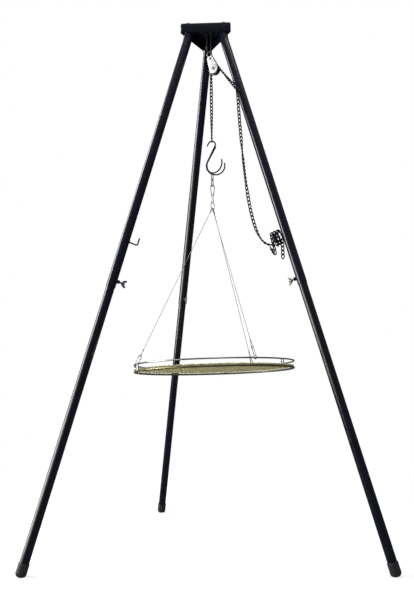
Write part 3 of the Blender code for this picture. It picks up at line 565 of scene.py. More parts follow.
# A finish's colour is plain, or the name of one in the panel; scale is that of its wear.
Look = namedtuple("Look", "colour worn dusty rough metallic scale wear dust bump specular grain",
                  defaults=(0.5, 900.0))
LOOKS = {
    "painted_steel": Look("paint", (0.015, 0.016, 0.020), (0.04, 0.04, 0.04),
                          0.22, 0.0, 45.0, 0.05, 0.04, 0.05, 0.42),
    "blackened_chain": Look("chain", (0.02, 0.02, 0.02), (0.02, 0.02, 0.02),
                            0.45, 0.0, 170.0, 0.20, 0.05, 0.12, 0.12),
    "bright_zinc": Look("zinc", (0.20, 0.20, 0.21), (0.24, 0.23, 0.22),
                        0.36, 0.9, 140.0, 0.35, 0.10, 0.12, 0.5, 1400.0),
    "pale_zinc": Look((0.80, 0.80, 0.77), (0.50, 0.50, 0.48), (0.50, 0.49, 0.46),
                      0.42, 0.5, 120.0, 0.25, 0.08, 0.10, 0.5, 1400.0),
    "galvanised_rope": Look("rope", (0.15, 0.15, 0.15), (0.18, 0.18, 0.17),
                            0.45, 0.6, 220.0, 0.3, 0.10, 0.10),
    "plated_rim": Look("rim", (0.10, 0.09, 0.05), (0.20, 0.17, 0.12),
                       0.34, 0.9, 60.0, 0.42, 0.12, 0.12),
    "chromed_rail": Look((0.30, 0.31, 0.33), (0.20, 0.20, 0.19), (0.25, 0.24, 0.22),
                         0.24, 1.0, 70.0, 0.30, 0.08, 0.08),
    "plated_mesh": Look("mesh", (0.30, 0.26, 0.12), (0.34, 0.30, 0.18),
                        0.40, 0.7, 40.0, 0.35, 0.10, 0.10),
    "dark_sheave": Look((0.035, 0.035, 0.04), (0.22, 0.22, 0.22), (0.06, 0.06, 0.06),
                        0.42, 0.5, 120.0, 0.35, 0.06, 0.15, 0.3),
    "moulded_foot": Look("plastic", (0.035, 0.035, 0.036), (0.06, 0.06, 0.06),
                         0.50, 0.0, 80.0, 0.25, 0.12, 0.25, 0.3, 1600.0),
    "dark_u_rod": Look((0.03, 0.03, 0.033), (0.16, 0.16, 0.16), (0.06, 0.06, 0.06),
                       0.34, 0.6, 150.0, 0.2, 0.06, 0.12, 0.4),
    "hanger_steel": Look((0.10, 0.10, 0.10), (0.05, 0.05, 0.05), (0.08, 0.08, 0.08),
                         0.38, 0.8, 160.0, 0.4, 0.06, 0.15, 0.4),
}


def finish(name):
    """The material of a finish: base colour, worn colour and dust, with fine relief."""
    if name in bpy.data.materials:
        return bpy.data.materials[name]
    look = LOOKS[name]
    colour = look.colour
    if isinstance(colour, str):
        colour = getattr(sizes("grill_finishes"), colour)
    made, tree, shader = new_material(name)
    place = tree.new("ShaderNodeTexCoord").outputs["Object"]
    worn_part = grouped(tree, wear_group(), Place=place, Scale=look.scale, Amount=look.wear)
    dust_part = grouped(tree, dust_group(), Place=place, Amount=look.dust)
    tone = tree.noise(place, look.scale * 0.35, 3.0)
    varied = tree.mix(tree.spread(tone, 0.35, 0.65), (*[c * 0.86 for c in colour], 1),
                      (*[min(c * 1.12, 1.0) for c in colour], 1))
    base = tree.mix(worn_part["Mask"], varied, (*look.worn, 1))
    base = tree.mix(dust_part["Mask"], base, (*look.dusty, 1))
    gloss = tree.spread(tree.noise(place, look.scale * 1.7, 4.0), 0.3, 0.7,
                        look.rough - 0.05, look.rough + 0.06)
    gloss = tree.plus(gloss, tree.times(dust_part["Mask"], 0.45))
    peel = tree.noise(place, look.grain, 1.5, 0.4)
    height = tree.plus(peel, tree.times(worn_part["Height"], 0.6))
    relief = tree.step("ShaderNodeBump",
                       {"Distance": 0.0004, "Strength": look.bump, "Height": height})
    for socket, value in (("Base Color", base), ("Roughness", gloss), ("Normal", relief),
                          ("Metallic", look.metallic), ("Specular IOR Level", look.specular)):
        tree.put(shader.inputs[socket], value)
    return made


def dress(obj, look, body, slot, *nodes):
    """Gives a finished piece its finish and its body, and hides the nodes it stands for; the slot
    is not used.
    """
    obj.data.materials.clear()
    obj.data.materials.append(finish(look))
    if body:
        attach(obj, body)
    if nodes:
        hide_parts(*nodes)
    return obj


# legs

def leg_point(z, offset=0.0):
    """A point on the straight part's axis at this height, in the leg's own frame."""
    return Vector(((KNEE_Z - z) * tan(SPLAY), 0, z)) + LEG_IN * offset


def tube(name, path, outer, inner, depth, sides):
    """A tube with open-looking ends: the wall turns in and runs up inside."""
    rings = [(spot, x, y, outer) for spot, x, y in frames_along(path)]
    for end in (0, -1):
        spot, x, y, _ = rings[end]
        way = (rings[1][0] - spot if end == 0 else rings[-2][0] - spot).normalized()
        lip = [(spot + way * 0.0003, x, y, outer - 0.00003), (spot, x, y, outer - 0.0003),
               (spot, x, y, inner + 0.0002), (spot + way * 0.0003, x, y, inner),
               (spot + way * depth, x, y, inner)]
        rings = [*reversed(lip), *rings[1:]] if end == 0 else [*rings[:-1], *lip]
    return skin(name, rings, sides)


def upper_tube(name):
    reach = BEND_R * tan(SPLAY / 2)
    top = PLATE_TOP - SHEET - GAP
    centre = Vector((BEND_R, 0, KNEE_Z + reach))
    bend = arc(centre, Vector((-BEND_R, 0, 0)), Vector((0, 0, -BEND_R)), 0, degrees(SPLAY), 14)
    far = leg_point(UPPER_END_Z)
    straight = [bend[-1].lerp(far, k / 12) for k in range(1, 13)]
    line = [Vector((0, 0, top)), Vector((0, 0, top - 0.006)), *bend, *straight]
    given = sizes("grill_tubes")
    return tube(name, line, given.upper, UPPER_BORE, 0.015, given.sides)


def lower_tube(name):
    start, end = leg_point(LOWER_TOP_Z), leg_point(0.0) - LEG_DOWN * PLUG_REACH
    line = [start.lerp(end, k / 12) for k in range(13)]
    given = sizes("grill_tubes")
    return tube(name, line, given.lower, LOWER_BORE, 0.012, given.sides)


def foot_plug(name):
    """A rounded cap with three grip ribs, cut flat where it stands."""
    base = leg_point(0.0) - LEG_DOWN * PLUG_REACH
    wall, bore = PLUG_WALL, sizes("grill_tubes").lower + GAP
    profile = [(bore, 0.0300), (wall - 0.0012, 0.0300), (wall - 0.0004, 0.0297),
               (wall, 0.0288)]
    for k in range(3):
        low = 0.022 - k * 0.0055
        profile += [(wall, low + 0.0012), (wall - 0.0006, low + 0.0007),
                    (wall - 0.0006, low - 0.0007), (wall, low - 0.0012)]
    profile += [(wall, 0.0)]
    profile += [(wall - 0.012 * (1 - cos(a)), -0.0128 * sin(a))
                for a in (radians(12 * k) for k in range(1, 8))]
    profile += [(0.0, -0.0130), (0.0, -GAP), (bore, -GAP)]
    place = Matrix.Translation(base) @ turn_to(-LEG_DOWN)

    def cut_flat(bm):
        bmesh.ops.bisect_plane(bm, geom=bm.verts[:] + bm.edges[:] + bm.faces[:],
                               plane_co=(0, 0, 0), plane_no=(0, 0, -1), clear_outer=True)
        rim = [edge for edge in bm.edges if edge.is_boundary]
        bmesh.ops.edgenet_fill(bm, edges=rim)
        face_out(bm)

    return smooth(reworked(turned(name, profile, place, 48, closed_profile=True), cut_flat))


def hex_nut(name, centre, axis, flats, height, bore, x_axis=None):
    """A hexagon nut with turned-down corners and a bore."""
    body = cylinder(name, centre, axis, flats / sqrt(3), height, 6, x_axis)
    r, h = flats / sqrt(3) + 0.0001, height / 2
    cone = turned("corners", [(0, h), (flats / 2 - 0.0001, h), (r, h - 0.0011),
                              (r, -h + 0.0011), (flats / 2 - 0.0001, -h), (0, -h)],
                  Matrix.Translation(centre) @ turn_to(axis), 36)
    body = combine(body, cone, "INTERSECT")
    hole = cylinder("hole", centre, axis, bore, height * 2, 24)
    return rounded(combine(body, hole, "DIFFERENCE"), 0.00018, 1)


def wing_screw(name):
    """A thumb screw: threaded shank, tapered hub and two rounded wings."""
    given = sizes("grill_tubes")
    tip = leg_point(CLAMP_Z, given.lower + GAP)
    place = Matrix.Translation(tip) @ turn_to(LEG_IN, LEG_DOWN)
    hub = [(0, 0.0303), (0.0026, 0.0303), (0.0036, 0.0298), (0.0052, 0.0170), (0.0048, 0.0161)]
    thread = []
    for k in range(15):
        h = 0.0158 - k * 0.00102
        thread += [(0.0028, h), (0.00235, h - 0.0005)]
    profile = [*hub, (0.0028, 0.0161), *thread, (0.0020, 0.0002), (0, 0.0)]
    hub = turned(name, profile, place, 24)
    wing = [(0.0022, 0.018), (0.0050, 0.0185), (0.0080, 0.0206), (0.0105, 0.0235),
            (0.0126, 0.0266), (0.0140, 0.0300), (0.0144, 0.0325), (0.0140, 0.0347),
            (0.0126, 0.0361), (0.0107, 0.0362), (0.0085, 0.0350), (0.0063, 0.0326),
            (0.0045, 0.0306), (0.0024, 0.0294), (0.0, 0.0290)]
    outline = [*wing, *[(-x, y) for x, y in reversed(wing[:-1])]]
    wings = sheet("wings", [outline], 0.0030, place @ Matrix.Rotation(pi / 2, 4, "X"), 0.0011)
    return joined(name, [hub, wings])


def weld_bead(spot, way, steps):
    """A low turned bead that a rod stands in, sunk a little into the tube."""
    return turned("weld", [(0, 0.003), *steps, (0, -WELD_SINK)],
                  Matrix.Translation(spot + way * WELD_SINK) @ turn_to(way), 24)


def leg_hook(name):
    root = leg_point(LEG_HOOK_Z, sizes("grill_tubes").upper - WELD_SINK)
    corner, turn = leg_point(LEG_HOOK_Z, 0.049), 0.006
    bend = arc(corner - LEG_IN * turn - LEG_DOWN * turn, LEG_DOWN * turn, LEG_IN * turn,
               0, 90, 10)
    path = [root + LEG_IN * HOOK_ROD, root + LEG_IN * 0.006, *bend, corner - LEG_DOWN * 0.012,
            corner - LEG_DOWN * 0.0275]
    hook = rod(name, path, HOOK_ROD, 20, round_ends=True)
    weld = weld_bead(root, LEG_IN, [(0.0030, 0.0027), (0.0045, 0.0014), (0.0056, 0.0)])
    return joined(name, [hook, weld])


def chain_eye(name):
    """The bent rod on the right leg's side that holds the chain's taut end."""
    out = Vector((0, -1, 0))
    spot = leg_point(CHAIN_EYE_Z)
    corner, turn = spot + out * 0.0365, 0.005
    bend = arc(corner - out * turn - LEG_DOWN * turn, LEG_DOWN * turn, out * turn, 0, 90, 10)
    start = spot + out * (sizes("grill_tubes").upper - WELD_SINK)
    path = [start + out * EYE_ROD, start + out * 0.004, *bend, corner - LEG_DOWN * 0.0150]
    eye = rod(name, path, EYE_ROD, 20, round_ends=True)
    weld = weld_bead(start, out, [(0.0028, 0.0026), (0.0042, 0.0014), (0.0052, 0.0)])
    return joined(name, [eye, weld])


class SWINGGRILL_OT_legs(bpy.types.Operator):
    """Makes the three telescopic legs with their plugs, clamps and hooks"""
    bl_idname = "swing_grill.legs"
    bl_label = "Legs"

    def execute(self, context):
        clamp = leg_point(CLAMP_Z, sizes("grill_tubes").upper + GAP + 0.0045)
        for side, matrix in LEG_FRAMES.items():
            leg, foot = f"leg_{side}", f"foot_{side}"
            pieces = [
                (upper_tube(f"leg_tube_upper_{side}"), "painted_steel", leg, "black_paint",
                 "upper_leg"),
                (lower_tube(f"leg_tube_lower_{side}"), "painted_steel", foot, "black_paint",
                 "lower_leg"),
                (foot_plug(f"leg_plug_{side}"), "moulded_foot", foot, "foot_plastic", "foot_plug"),
                (hex_nut(f"leg_clamp_nut_{side}", clamp, LEG_IN, 0.012, 0.009, 0.0033, LEG_DOWN),
                 "painted_steel", leg, "black_paint", "clamp_nut"),
                (wing_screw(f"leg_wing_screw_{side}"), "bright_zinc", f"wing_{side}",
                 "zinc_plate", "wing_screw"),
            ]
            if side != "back":
                pieces.append((leg_hook(f"leg_side_hook_{side}"), "painted_steel", leg,
                               "black_paint", "leg_hook"))
            for piece, look, body, slot, node in pieces:
                dress(placed(piece, matrix), look, body, slot, f"{node}_{side}")
        dress(placed(chain_eye("leg_chain_eye"), LEG_FRAMES["right"]), "painted_steel",
              "leg_right", "black_paint", "chain_eye")
        return {"FINISHED"}


# head

def folded_plate():
    corner = SIDE / sqrt(3)
    outline = []
    for azimuth in (-30, 90, 210):
        here = Vector((cos(radians(azimuth)), sin(radians(azimuth)))) * corner
        for other in (azimuth - 120, azimuth + 120):
            way = Vector((cos(radians(other)), sin(radians(other)))) * corner - here
            outline.append(here + way.normalized() * CORNER_CUT)
    bm = bmesh.new()
    low = [bm.verts.new((MIDDLE.x + x, MIDDLE.y + y, PLATE_TOP - FLANGE)) for x, y in outline]
    raised = bmesh.ops.extrude_face_region(bm, geom=[bm.faces.new(low)])["geom"]
    top = [v for v in raised if isinstance(v, bmesh.types.BMVert)]
    bmesh.ops.translate(bm, vec=(0, 0, FLANGE), verts=top)
    face_out(bm)
    rim = [e for e in bm.edges if all(v.co.z > PLATE_TOP - 1e-6 for v in e.verts)]
    bmesh.ops.bevel(bm, geom=rim, offset=0.0032, segments=5, profile=0.5, affect="EDGES")
    plate = from_bmesh("head_folded_plate", bm)
    inner = 2 * (SIDE / (2 * sqrt(3)) - SHEET)
    hollow = cylinder("hollow", (0, 0, PLATE_TOP - SHEET - FLANGE), Z, inner, 2 * FLANGE, 3,
                      (1, 0, 0))
    spot = hollow.data.vertices[0].co
    swing = radians(-30) - atan2(spot.y, spot.x)
    placed(hollow, Matrix.Translation(MIDDLE) @ Matrix.Rotation(swing, 4, "Z"))
    plate = combine(plate, hollow, "DIFFERENCE")
    for side in LEG_FRAMES:
        centre = joint_spot(f"leg_{side}_swivel")
        plate = combine(plate, cylinder("hole", (centre.x, centre.y, PLATE_TOP), Z, 0.0053,
                                        0.02, 24), "DIFFERENCE")
    for way in (-1, 1):
        plate = combine(plate, cylinder("hole", at(U_BOLT_U, way * U_BOLT_HALF, PLATE_TOP), Z,
                                        0.0040, 0.02, 24), "DIFFERENCE")
    return rounded(plate, 0.0004, 2, 50)


def leg_bolt():
    """One hexagon bolt with its washer, upright at the origin, its washer resting at z = 0."""
    head = 0.0064
    body = hex_nut("bolt_head", (0, 0, head / 2 + 0.0014), Z, 0.017, head, 0.0022)
    dome = turned("mark", [(0, head + 0.0010), (0.0024, head + 0.0008), (0.0024, 0.002),
                           (0, 0.002)], Matrix(), 24)
    washer = turned("washer", [(0, 0.0016), (0.0100, 0.0016), (0.0105, 0.0012),
                               (0.0105, 0.0004), (0.0100, 0.0), (0, 0.0)], Matrix(), 36)
    shank = turned("shank", [(0, 0.002), (0.0049, 0.002), (0.0049, -0.0150),
                             (0.0042, -0.0160), (0, -0.0160)], Matrix(), 24)
    return joined("leg_bolt_shape", [body, dome, washer, shank])


def scattered(name, shape, spots):
    """Copies of a shape on points, made by Geometry Nodes and left as one plain mesh."""
    mesh = bpy.data.meshes.new(name)
    mesh.from_pydata([tuple(spot) for spot in spots], [], [])
    obj = keep(name, mesh)
    group, tree, given, out = named_group(
        f"{name}_copies", "GeometryNodeTree",
        (("Points", "NodeSocketGeometry", None), ("Shape", "NodeSocketObject", None),
         ("Finish", "NodeSocketMaterial", None)), (("Copies", "NodeSocketGeometry"),))
    source = tree.new("GeometryNodeObjectInfo", {"Object": given["Shape"]})
    copies = tree.step("GeometryNodeInstanceOnPoints",
                       {"Points": given["Points"], "Instance": source.outputs["Geometry"]})
    finish_tree(tree, copies, given["Finish"], out)
    run_tree(obj, group, Shape=shape)
    made = applied(obj)
    bpy.data.objects.remove(shape, do_unlink=True)
    return made


def round_section(tree, radius, sides):
    return tree.step("GeometryNodeCurvePrimitiveCircle", {"Resolution": sides, "Radius": radius})


def swept(tree, line, section, caps=True):
    """The section's solid along the line."""
    return tree.step("GeometryNodeCurveToMesh",
                     {"Curve": line, "Profile Curve": section, "Fill Caps": caps})


def finish_tree(tree, geometry, material, out):
    """Ends a tree: instances made real, and the material set."""
    real = tree.step("GeometryNodeRealizeInstances", {0: geometry})
    tree.wire(tree.step("GeometryNodeSetMaterial", {"Geometry": real, "Material": material}),
              out[0])


def run_tree(obj, group, **values):
    """Puts a Geometry Nodes modifier on the object, with its inputs set by identifier."""
    change = obj.modifiers.new(group.name, "NODES")
    change.node_group = group
    for item in group.interface.items_tree:
        if item.in_out == "INPUT" and item.name in values:
            change[item.identifier] = values[item.name]


def threaded_u_bolt():
    centre = U_ROD + Z * U_BOLT_HALF
    low = arc(centre, N * U_BOLT_HALF, -Z * U_BOLT_HALF, 0, 180, 28)
    top = PLATE_TOP + 0.0105
    first, last = low[0], low[-1]
    thread = 0.030
    up = [last + Z * (top - thread - last.z) * k / 4 for k in range(1, 5)]
    down = [spot + N * (2 * U_BOLT_HALF) for spot in reversed(up)]
    path = [*down, *low, *up]
    rings = [(spot, x, y, U_BOLT_R) for spot, x, y in frames_along(path)]
    step = 0.0010

    def threads(ring, way):
        spot, x, y, _ = ring
        made = []
        for k in range(int(thread / step)):
            made += [(spot + way * (k * step + step * 0.25), x, y, U_BOLT_R - 0.0001),
                     (spot + way * (k * step + step * 0.75), x, y, U_BOLT_R - 0.0006)]
        return made

    rings = [*reversed(threads(rings[0], Z)), *rings, *threads(rings[-1], Z)]
    return skin("head_u_bolt", rings, 20)


class SWINGGRILL_OT_head(bpy.types.Operator):
    """Makes the folded head plate with its bolts and the U-bolt"""
    bl_idname = "swing_grill.head"
    bl_label = "Head plate"

    def execute(self, context):
        def black(piece, *nodes):
            dress(piece, "painted_steel", "head", "black_paint", *nodes)

        black(folded_plate(), "head_plate")
        spots = [joint_spot(f"leg_{side}_swivel") for side in LEG_FRAMES]
        spots = [Vector((spot.x, spot.y, PLATE_TOP + GAP)) for spot in spots]
        black(smooth(scattered("head_leg_bolts", leg_bolt(), spots)),
              *[f"leg_bolt_{side}" for side in LEG_FRAMES])
        dress(threaded_u_bolt(), "dark_u_rod", "head", "dark_rod", "u_bolt")
        for name, way in (("near", -1), ("far", 1)):
            centre = at(U_BOLT_U, way * U_BOLT_HALF, PLATE_TOP + GAP + 0.003)
            black(hex_nut(f"head_nut_{name}", centre, Z, 0.012, 0.006, U_BOLT_R + GAP),
                  f"u_bolt_nut_{name}")
        return {"FINISHED"}


# pulley block

def cheek(name, side):
    small, large, span = 0.0125, 0.0195, AXLE_DROP - RIVET_DROP
    lean = degrees(asin((large - small) / span))
    outline = [(small * cos(radians(a)), small * sin(radians(a)))
               for a in [(-lean + (180 + 2 * lean) * k / 28) for k in range(29)]]
    outline += [(large * cos(radians(a)), -span + large * sin(radians(a)))
                for a in [(180 + lean + (180 - 2 * lean) * k / 36) for k in range(37)]]
    middle = RIVET + N * side * (CHEEK_IN + CHEEK / 2)
    place = Matrix.Translation(middle) @ Matrix(
        (SIDE_BLOCK, -DOWN_BLOCK, SIDE_BLOCK.cross(-DOWN_BLOCK))).transposed().to_4x4()
    holes = [circle(0.0033, 28), circle(0.0043, 32, (0, -span))]
    return sheet(name, [outline, *holes], CHEEK, place, 0.0004)


def headed_pin(name, spot, radius, head):
    reach = CHEEK_IN + CHEEK + GAP
    dome = [(head * sin(a), reach + 0.0004 + 0.0017 * cos(a))
            for a in (radians(15 * k) for k in range(7))]
    profile = [*dome, (head, reach), (radius, reach)]
    profile += [(r, -h) for r, h in reversed(profile)]
    return turned(name, profile, Matrix.Translation(spot) @ turn_to(N), 32)


def sheave():
    edge = SHEAVE_HALF
    left = [(0.0043, edge), (0.0075, edge), (0.0082, edge - 0.0009), (0.0165, edge - 0.0009),
            (0.0172, edge), (SHEAVE_R - 0.0008, edge), (SHEAVE_R - 0.0002, edge - 0.0003),
            (SHEAVE_R, edge - 0.0007), (SHEAVE_R - 0.0006, 0.0085), (0.0180, 0.0079),
            (0.0150, 0.0073), (0.0140, 0.0066), (0.0137, 0.0056)]
    profile = [*left, *[(r, -h) for r, h in reversed(left)]]
    return turned("pulley_sheave", profile, Matrix.Translation(AXLE) @ turn_to(N), 72, True)


class SWINGGRILL_OT_pulley(bpy.types.Operator):
    """Makes the pulley block: ring, cheeks, pins and sheave"""
    bl_idname = "swing_grill.pulley"
    bl_label = "Pulley block"

    def execute(self, context):
        wire = 0.005
        top, low = -(U_BOLT_R + GAP + wire / 2), RIVET_DROP + 0.003 + GAP + wire / 2
        centre = U_ROD + DOWN_BLOCK * (top + low) / 2
        path = oval(centre, DOWN_BLOCK, SIDE_BLOCK, low - top + wire, 0.024, wire, 16)
        dress(rod("pulley_ring", path, wire / 2, 20, True), "bright_zinc", "ring", "zinc_plate",
              "shackle_ring")
        for name, side in (("near", -1), ("far", 1)):
            dress(cheek(f"pulley_cheek_{name}", side), "pale_zinc", "block", "zinc_plate",
                  f"cheek_{name}")
        for name, spot, radius, head, node in (
                ("rivet", RIVET, 0.0030, 0.0052, "cheek_rivet"),
                ("axle", AXLE, 0.0040, 0.0062, "sheave_pin")):
            dress(headed_pin(f"pulley_{name}", spot, radius, head), "bright_zinc", "block",
                  "zinc_plate", node)
        dress(sheave(), "dark_sheave", "sheave", "mesh_steel", "sheave")
        return {"FINISHED"}


# chain

def link_group():
    """Twisted oval links on points, each turned by the points' own rotation."""
    if "twisted_links" in bpy.data.node_groups:
        return bpy.data.node_groups["twisted_links"]
    group, tree, given, out = named_group(
        "twisted_links", "GeometryNodeTree",
        (("Points", "NodeSocketGeometry", None), ("Half length", "NodeSocketFloat", 0.0089),
         ("Half width", "NodeSocketFloat", 0.00485), ("Wire radius", "NodeSocketFloat", 0.00165),
         ("Twist", "NodeSocketFloat", 0.7), ("Finish", "NodeSocketMaterial", None)),
        (("Links", "NodeSocketGeometry"),))
    turn = tree.times(tree.new("GeometryNodeSplineParameter").outputs["Factor"], 2 * pi)

    def rounded_wave(kind, power):
        wave = tree.maths(kind, turn)
        size = tree.maths("POWER", tree.maths("ABSOLUTE", wave), power)
        return tree.times(tree.maths("SIGN", wave), size)

    x = tree.times(rounded_wave("COSINE", 0.92), given["Half length"])
    y = tree.times(rounded_wave("SINE", 0.72), given["Half width"])
    angle = tree.times(given["Twist"], tree.over(x, given["Half length"]))
    bent = tree.vector(x, tree.times(y, tree.maths("COSINE", angle)),
                       tree.times(y, tree.maths("SINE", angle)))
    ring = tree.step("GeometryNodeCurvePrimitiveCircle", {"Resolution": 22})
    line = tree.step("GeometryNodeSetPosition", {"Geometry": ring, "Position": bent})
    solid = swept(tree, line, round_section(tree, given["Wire radius"], 8), False)
    shade = tree.step("GeometryNodeSetShadeSmooth", {"Geometry": solid})
    facing = tree.new("GeometryNodeInputNamedAttribute", {"Name": "facing"},
                      data_type="QUATERNION")
    copies = tree.step("GeometryNodeInstanceOnPoints",
                       {"Points": given["Points"], "Instance": shade,
                        "Rotation": facing.outputs["Attribute"]})
    finish_tree(tree, copies, given["Finish"], out)
    return group


def links(name, frames, flat=False):
    """Real links at the frames: (centre, along, across) of each."""
    mesh = bpy.data.meshes.new(name)
    mesh.from_pydata([tuple(frame[0]) for frame in frames], [], [])
    facing = mesh.attributes.new("facing", "QUATERNION", "POINT")
    for item, (_, along, across) in zip(facing.data, frames):
        x = along.normalized()
        y = (across - x * across.dot(x)).normalized()
        item.value = Matrix((x, y, x.cross(y))).transposed().to_quaternion()
    given = sizes("grill_chain")
    obj = keep(name, mesh)
    values = {"Half length": (given.pitch + given.wire) / 2,
              "Half width": (given.width - given.wire) / 2, "Wire radius": given.wire / 2,
              "Twist": 0.0 if flat else given.twist, "Finish": finish("blackened_chain")}
    run_tree(obj, link_group(), **values)
    made = reworked(applied(obj), face_out)
    made.data.shade_smooth()
    return made


def link_frames(route, count, across, turn=None, pitch=None):
    """Centre, direction and width direction of each link; turn gives a link's own angle."""
    pitch = pitch or sizes("grill_chain").pitch
    frames = []
    across = Vector(across)
    for k in range(count):
        s = k * pitch
        centre = route.spot(s)
        along = (route.spot(s + pitch / 2) - route.spot(s - pitch / 2)).normalized()
        across = (across - along * across.dot(along)).normalized()
        angle = radians(turn(k)) if turn else 0.0
        frames.append((centre, along, Matrix.Rotation(angle, 3, along) @ across))
    return frames


def fall_route(half):
    spot = leg_point(CHAIN_EYE_Z)
    eye = LEG_FRAMES["right"] @ Vector((spot.x, -0.0255, CHAIN_EYE_Z))
    away = Vector(((eye - AXLE).dot(U), eye.z - AXLE.z))
    last = degrees(atan2(away.y, away.x) + acos(CHAIN_R / away.length))
    wrap = arc(AXLE, U * CHAIN_R, Z * CHAIN_R, 180, last, 24)
    way = (eye - wrap[-1]).normalized()
    return Route([*wrap, eye - way * half])


def slack_route(half):
    """The loose run: a hanging curve from the eye down to the hank on the leg's hook."""
    spot = leg_point(CHAIN_EYE_Z)
    top = LEG_FRAMES["right"] @ Vector((spot.x, -0.0298, CHAIN_EYE_Z - half))
    end = hank_point(0.0700, 0.0, 0.002)
    flat_way = Vector((end.x - top.x, end.y - top.y, 0))
    h, v, length = flat_way.length, top.z - end.z, SLACK_LINKS * CHAIN_PITCH
    low, high = h / 12, h * 8
    for _ in range(60):
        a = (low + high) / 2
        if 2 * a * sinh(h / (2 * a)) > sqrt(length ** 2 - v ** 2):
            low = a
        else:
            high = a
    x0 = h / 2 + a * asinh(v / (2 * a * sinh(h / (2 * a))))
    points = []
    for k in range(61):
        x = h * (k / 60) ** 2 if k < 60 else h
        points.append(top + flat_way.normalized() * x
                      - Z * (a * (cosh(x0 / a) - cosh((x0 - x) / a))))
    return Route(points)


def hank_point(out, n, up):
    """A point by the right leg's hook: distance from the leg's axis, sideways, up the leg."""
    local = leg_point(LEG_HOOK_Z, out) - LEG_DOWN * up
    return LEG_FRAMES["right"] @ Vector((local.x, n, local.z))


def hank_route(start):
    """A small hanging loop, then two and a half turns round the hook, then straight down."""
    first = [start, hank_point(0.0690, -0.004, -0.030), hank_point(0.0640, -0.008, -0.040),
             hank_point(0.0585, -0.012, -0.033), hank_point(0.0555, -0.0150, -0.014)]
    turns = []
    for k in range(1, 41):
        a = pi - 2 * pi * 2.5 * k / 40
        turns.append(hank_point(0.0545 - 0.0300 * k / 40, 0.0150 * cos(a),
                                0.0142 + 0.0245 * sin(a)))
    end = turns[-1]
    drop = [end + N * 0.0075 - Z * 0.010, *[end + N * 0.009 - Z * 0.014 * k for k in (2, 3, 4)]]
    return Route(through([*first, *turns, *drop], 4))


class SWINGGRILL_OT_chain(bpy.types.Operator):
    """Makes every link of the chain, from the hook over the pulley to the hank on the leg"""
    bl_idname = "swing_grill.chain"
    bl_label = "Chain"

    def execute(self, context):
        given = sizes("grill_chain")
        pitch, half = given.pitch, (given.pitch + given.wire) / 2
        seat = half - given.wire / 2 - EYE_ROD - GAP

        def black(piece, body, node):
            return dress(piece, "blackened_chain", body, "black_chain", node)

        fall = fall_route(seat)
        count = round(fall.length / pitch) + 1
        level = 7  # the first links lie alike, and those after them turn towards the eye
        frames = link_frames(fall, count, N,
                             lambda k: 90 * max(k - level, 0) / (count - 1 - level),
                             fall.length / (count - 1))
        frames[-1] = (frames[-1][0], frames[-1][1], frames[-1][1].cross(N).normalized())
        wrapped = 5
        black(links("chain_over_pulley", frames[:wrapped]), "block", "chain_fall")
        taut = joined("chain_taut_run", [links("run", frames[wrapped:-1]),
                                         links("last", frames[-1:], True)])
        black(taut, None, "chain_fall")
        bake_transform(taut)
        top = [(HANG + Z * (AXLE.z - pitch), -Z, N)]
        black(links("chain_first_hanging", top), "chain_top", "chain_top_link")
        end_z = HOOK_TOP - 2 * HOOK_ROD - GAP - given.wire / 2 + half
        high, low = AXLE.z - 2 * pitch, end_z + pitch
        count = round((high - low) / pitch) + 1
        run = Route([HANG + Z * high, HANG + Z * low])
        frames = link_frames(run, count, N, lambda k: 150 * k / (count - 1),
                             (high - low) / (count - 1))
        hanging = black(links("chain_hanging_run", frames), None, "chain_hanging")
        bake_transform(hanging)
        black(links("chain_last_link", [(HANG + Z * end_z, -Z, Vector((0, 1, 0)))], True),
              "chain_end", "chain_end_link")
        slack = slack_route(seat)

        def facing(k):
            return 90 * sum(min(max((k - first) / 5, 0), 1) for first in (13, 25, 36))

        frames = link_frames(slack, SLACK_LINKS, U, facing,
                             slack.length / (SLACK_LINKS - 1))
        first = (frames[0][0], -Z, U)
        loose = joined("chain_loose_run", [links("run", frames[1:]), links("top", [first], True)])
        black(loose, "leg_right", "chain_slack")
        hank = hank_route(frames[-1][0] - Z * pitch)
        close, drop = pitch - 0.0006, 0.034
        count = int((hank.length - drop) / close)
        frames = link_frames(hank, count, frames[-1][2], lambda k: 2 * k, close)
        black(links("chain_hank_links", frames), "leg_right", "chain_hank")
        start = frames[-1][0] - Z * pitch
        tail = link_frames(Route([start, start - Z * 0.1]), 5, frames[-1][2].cross(Z))
        black(links("chain_tail_links", tail), "leg_right", "chain_tail")
        return {"FINISHED"}


# hook and hanger

def across_from_y(turn):
    return Vector((sin(radians(turn)), cos(radians(turn)), 0))


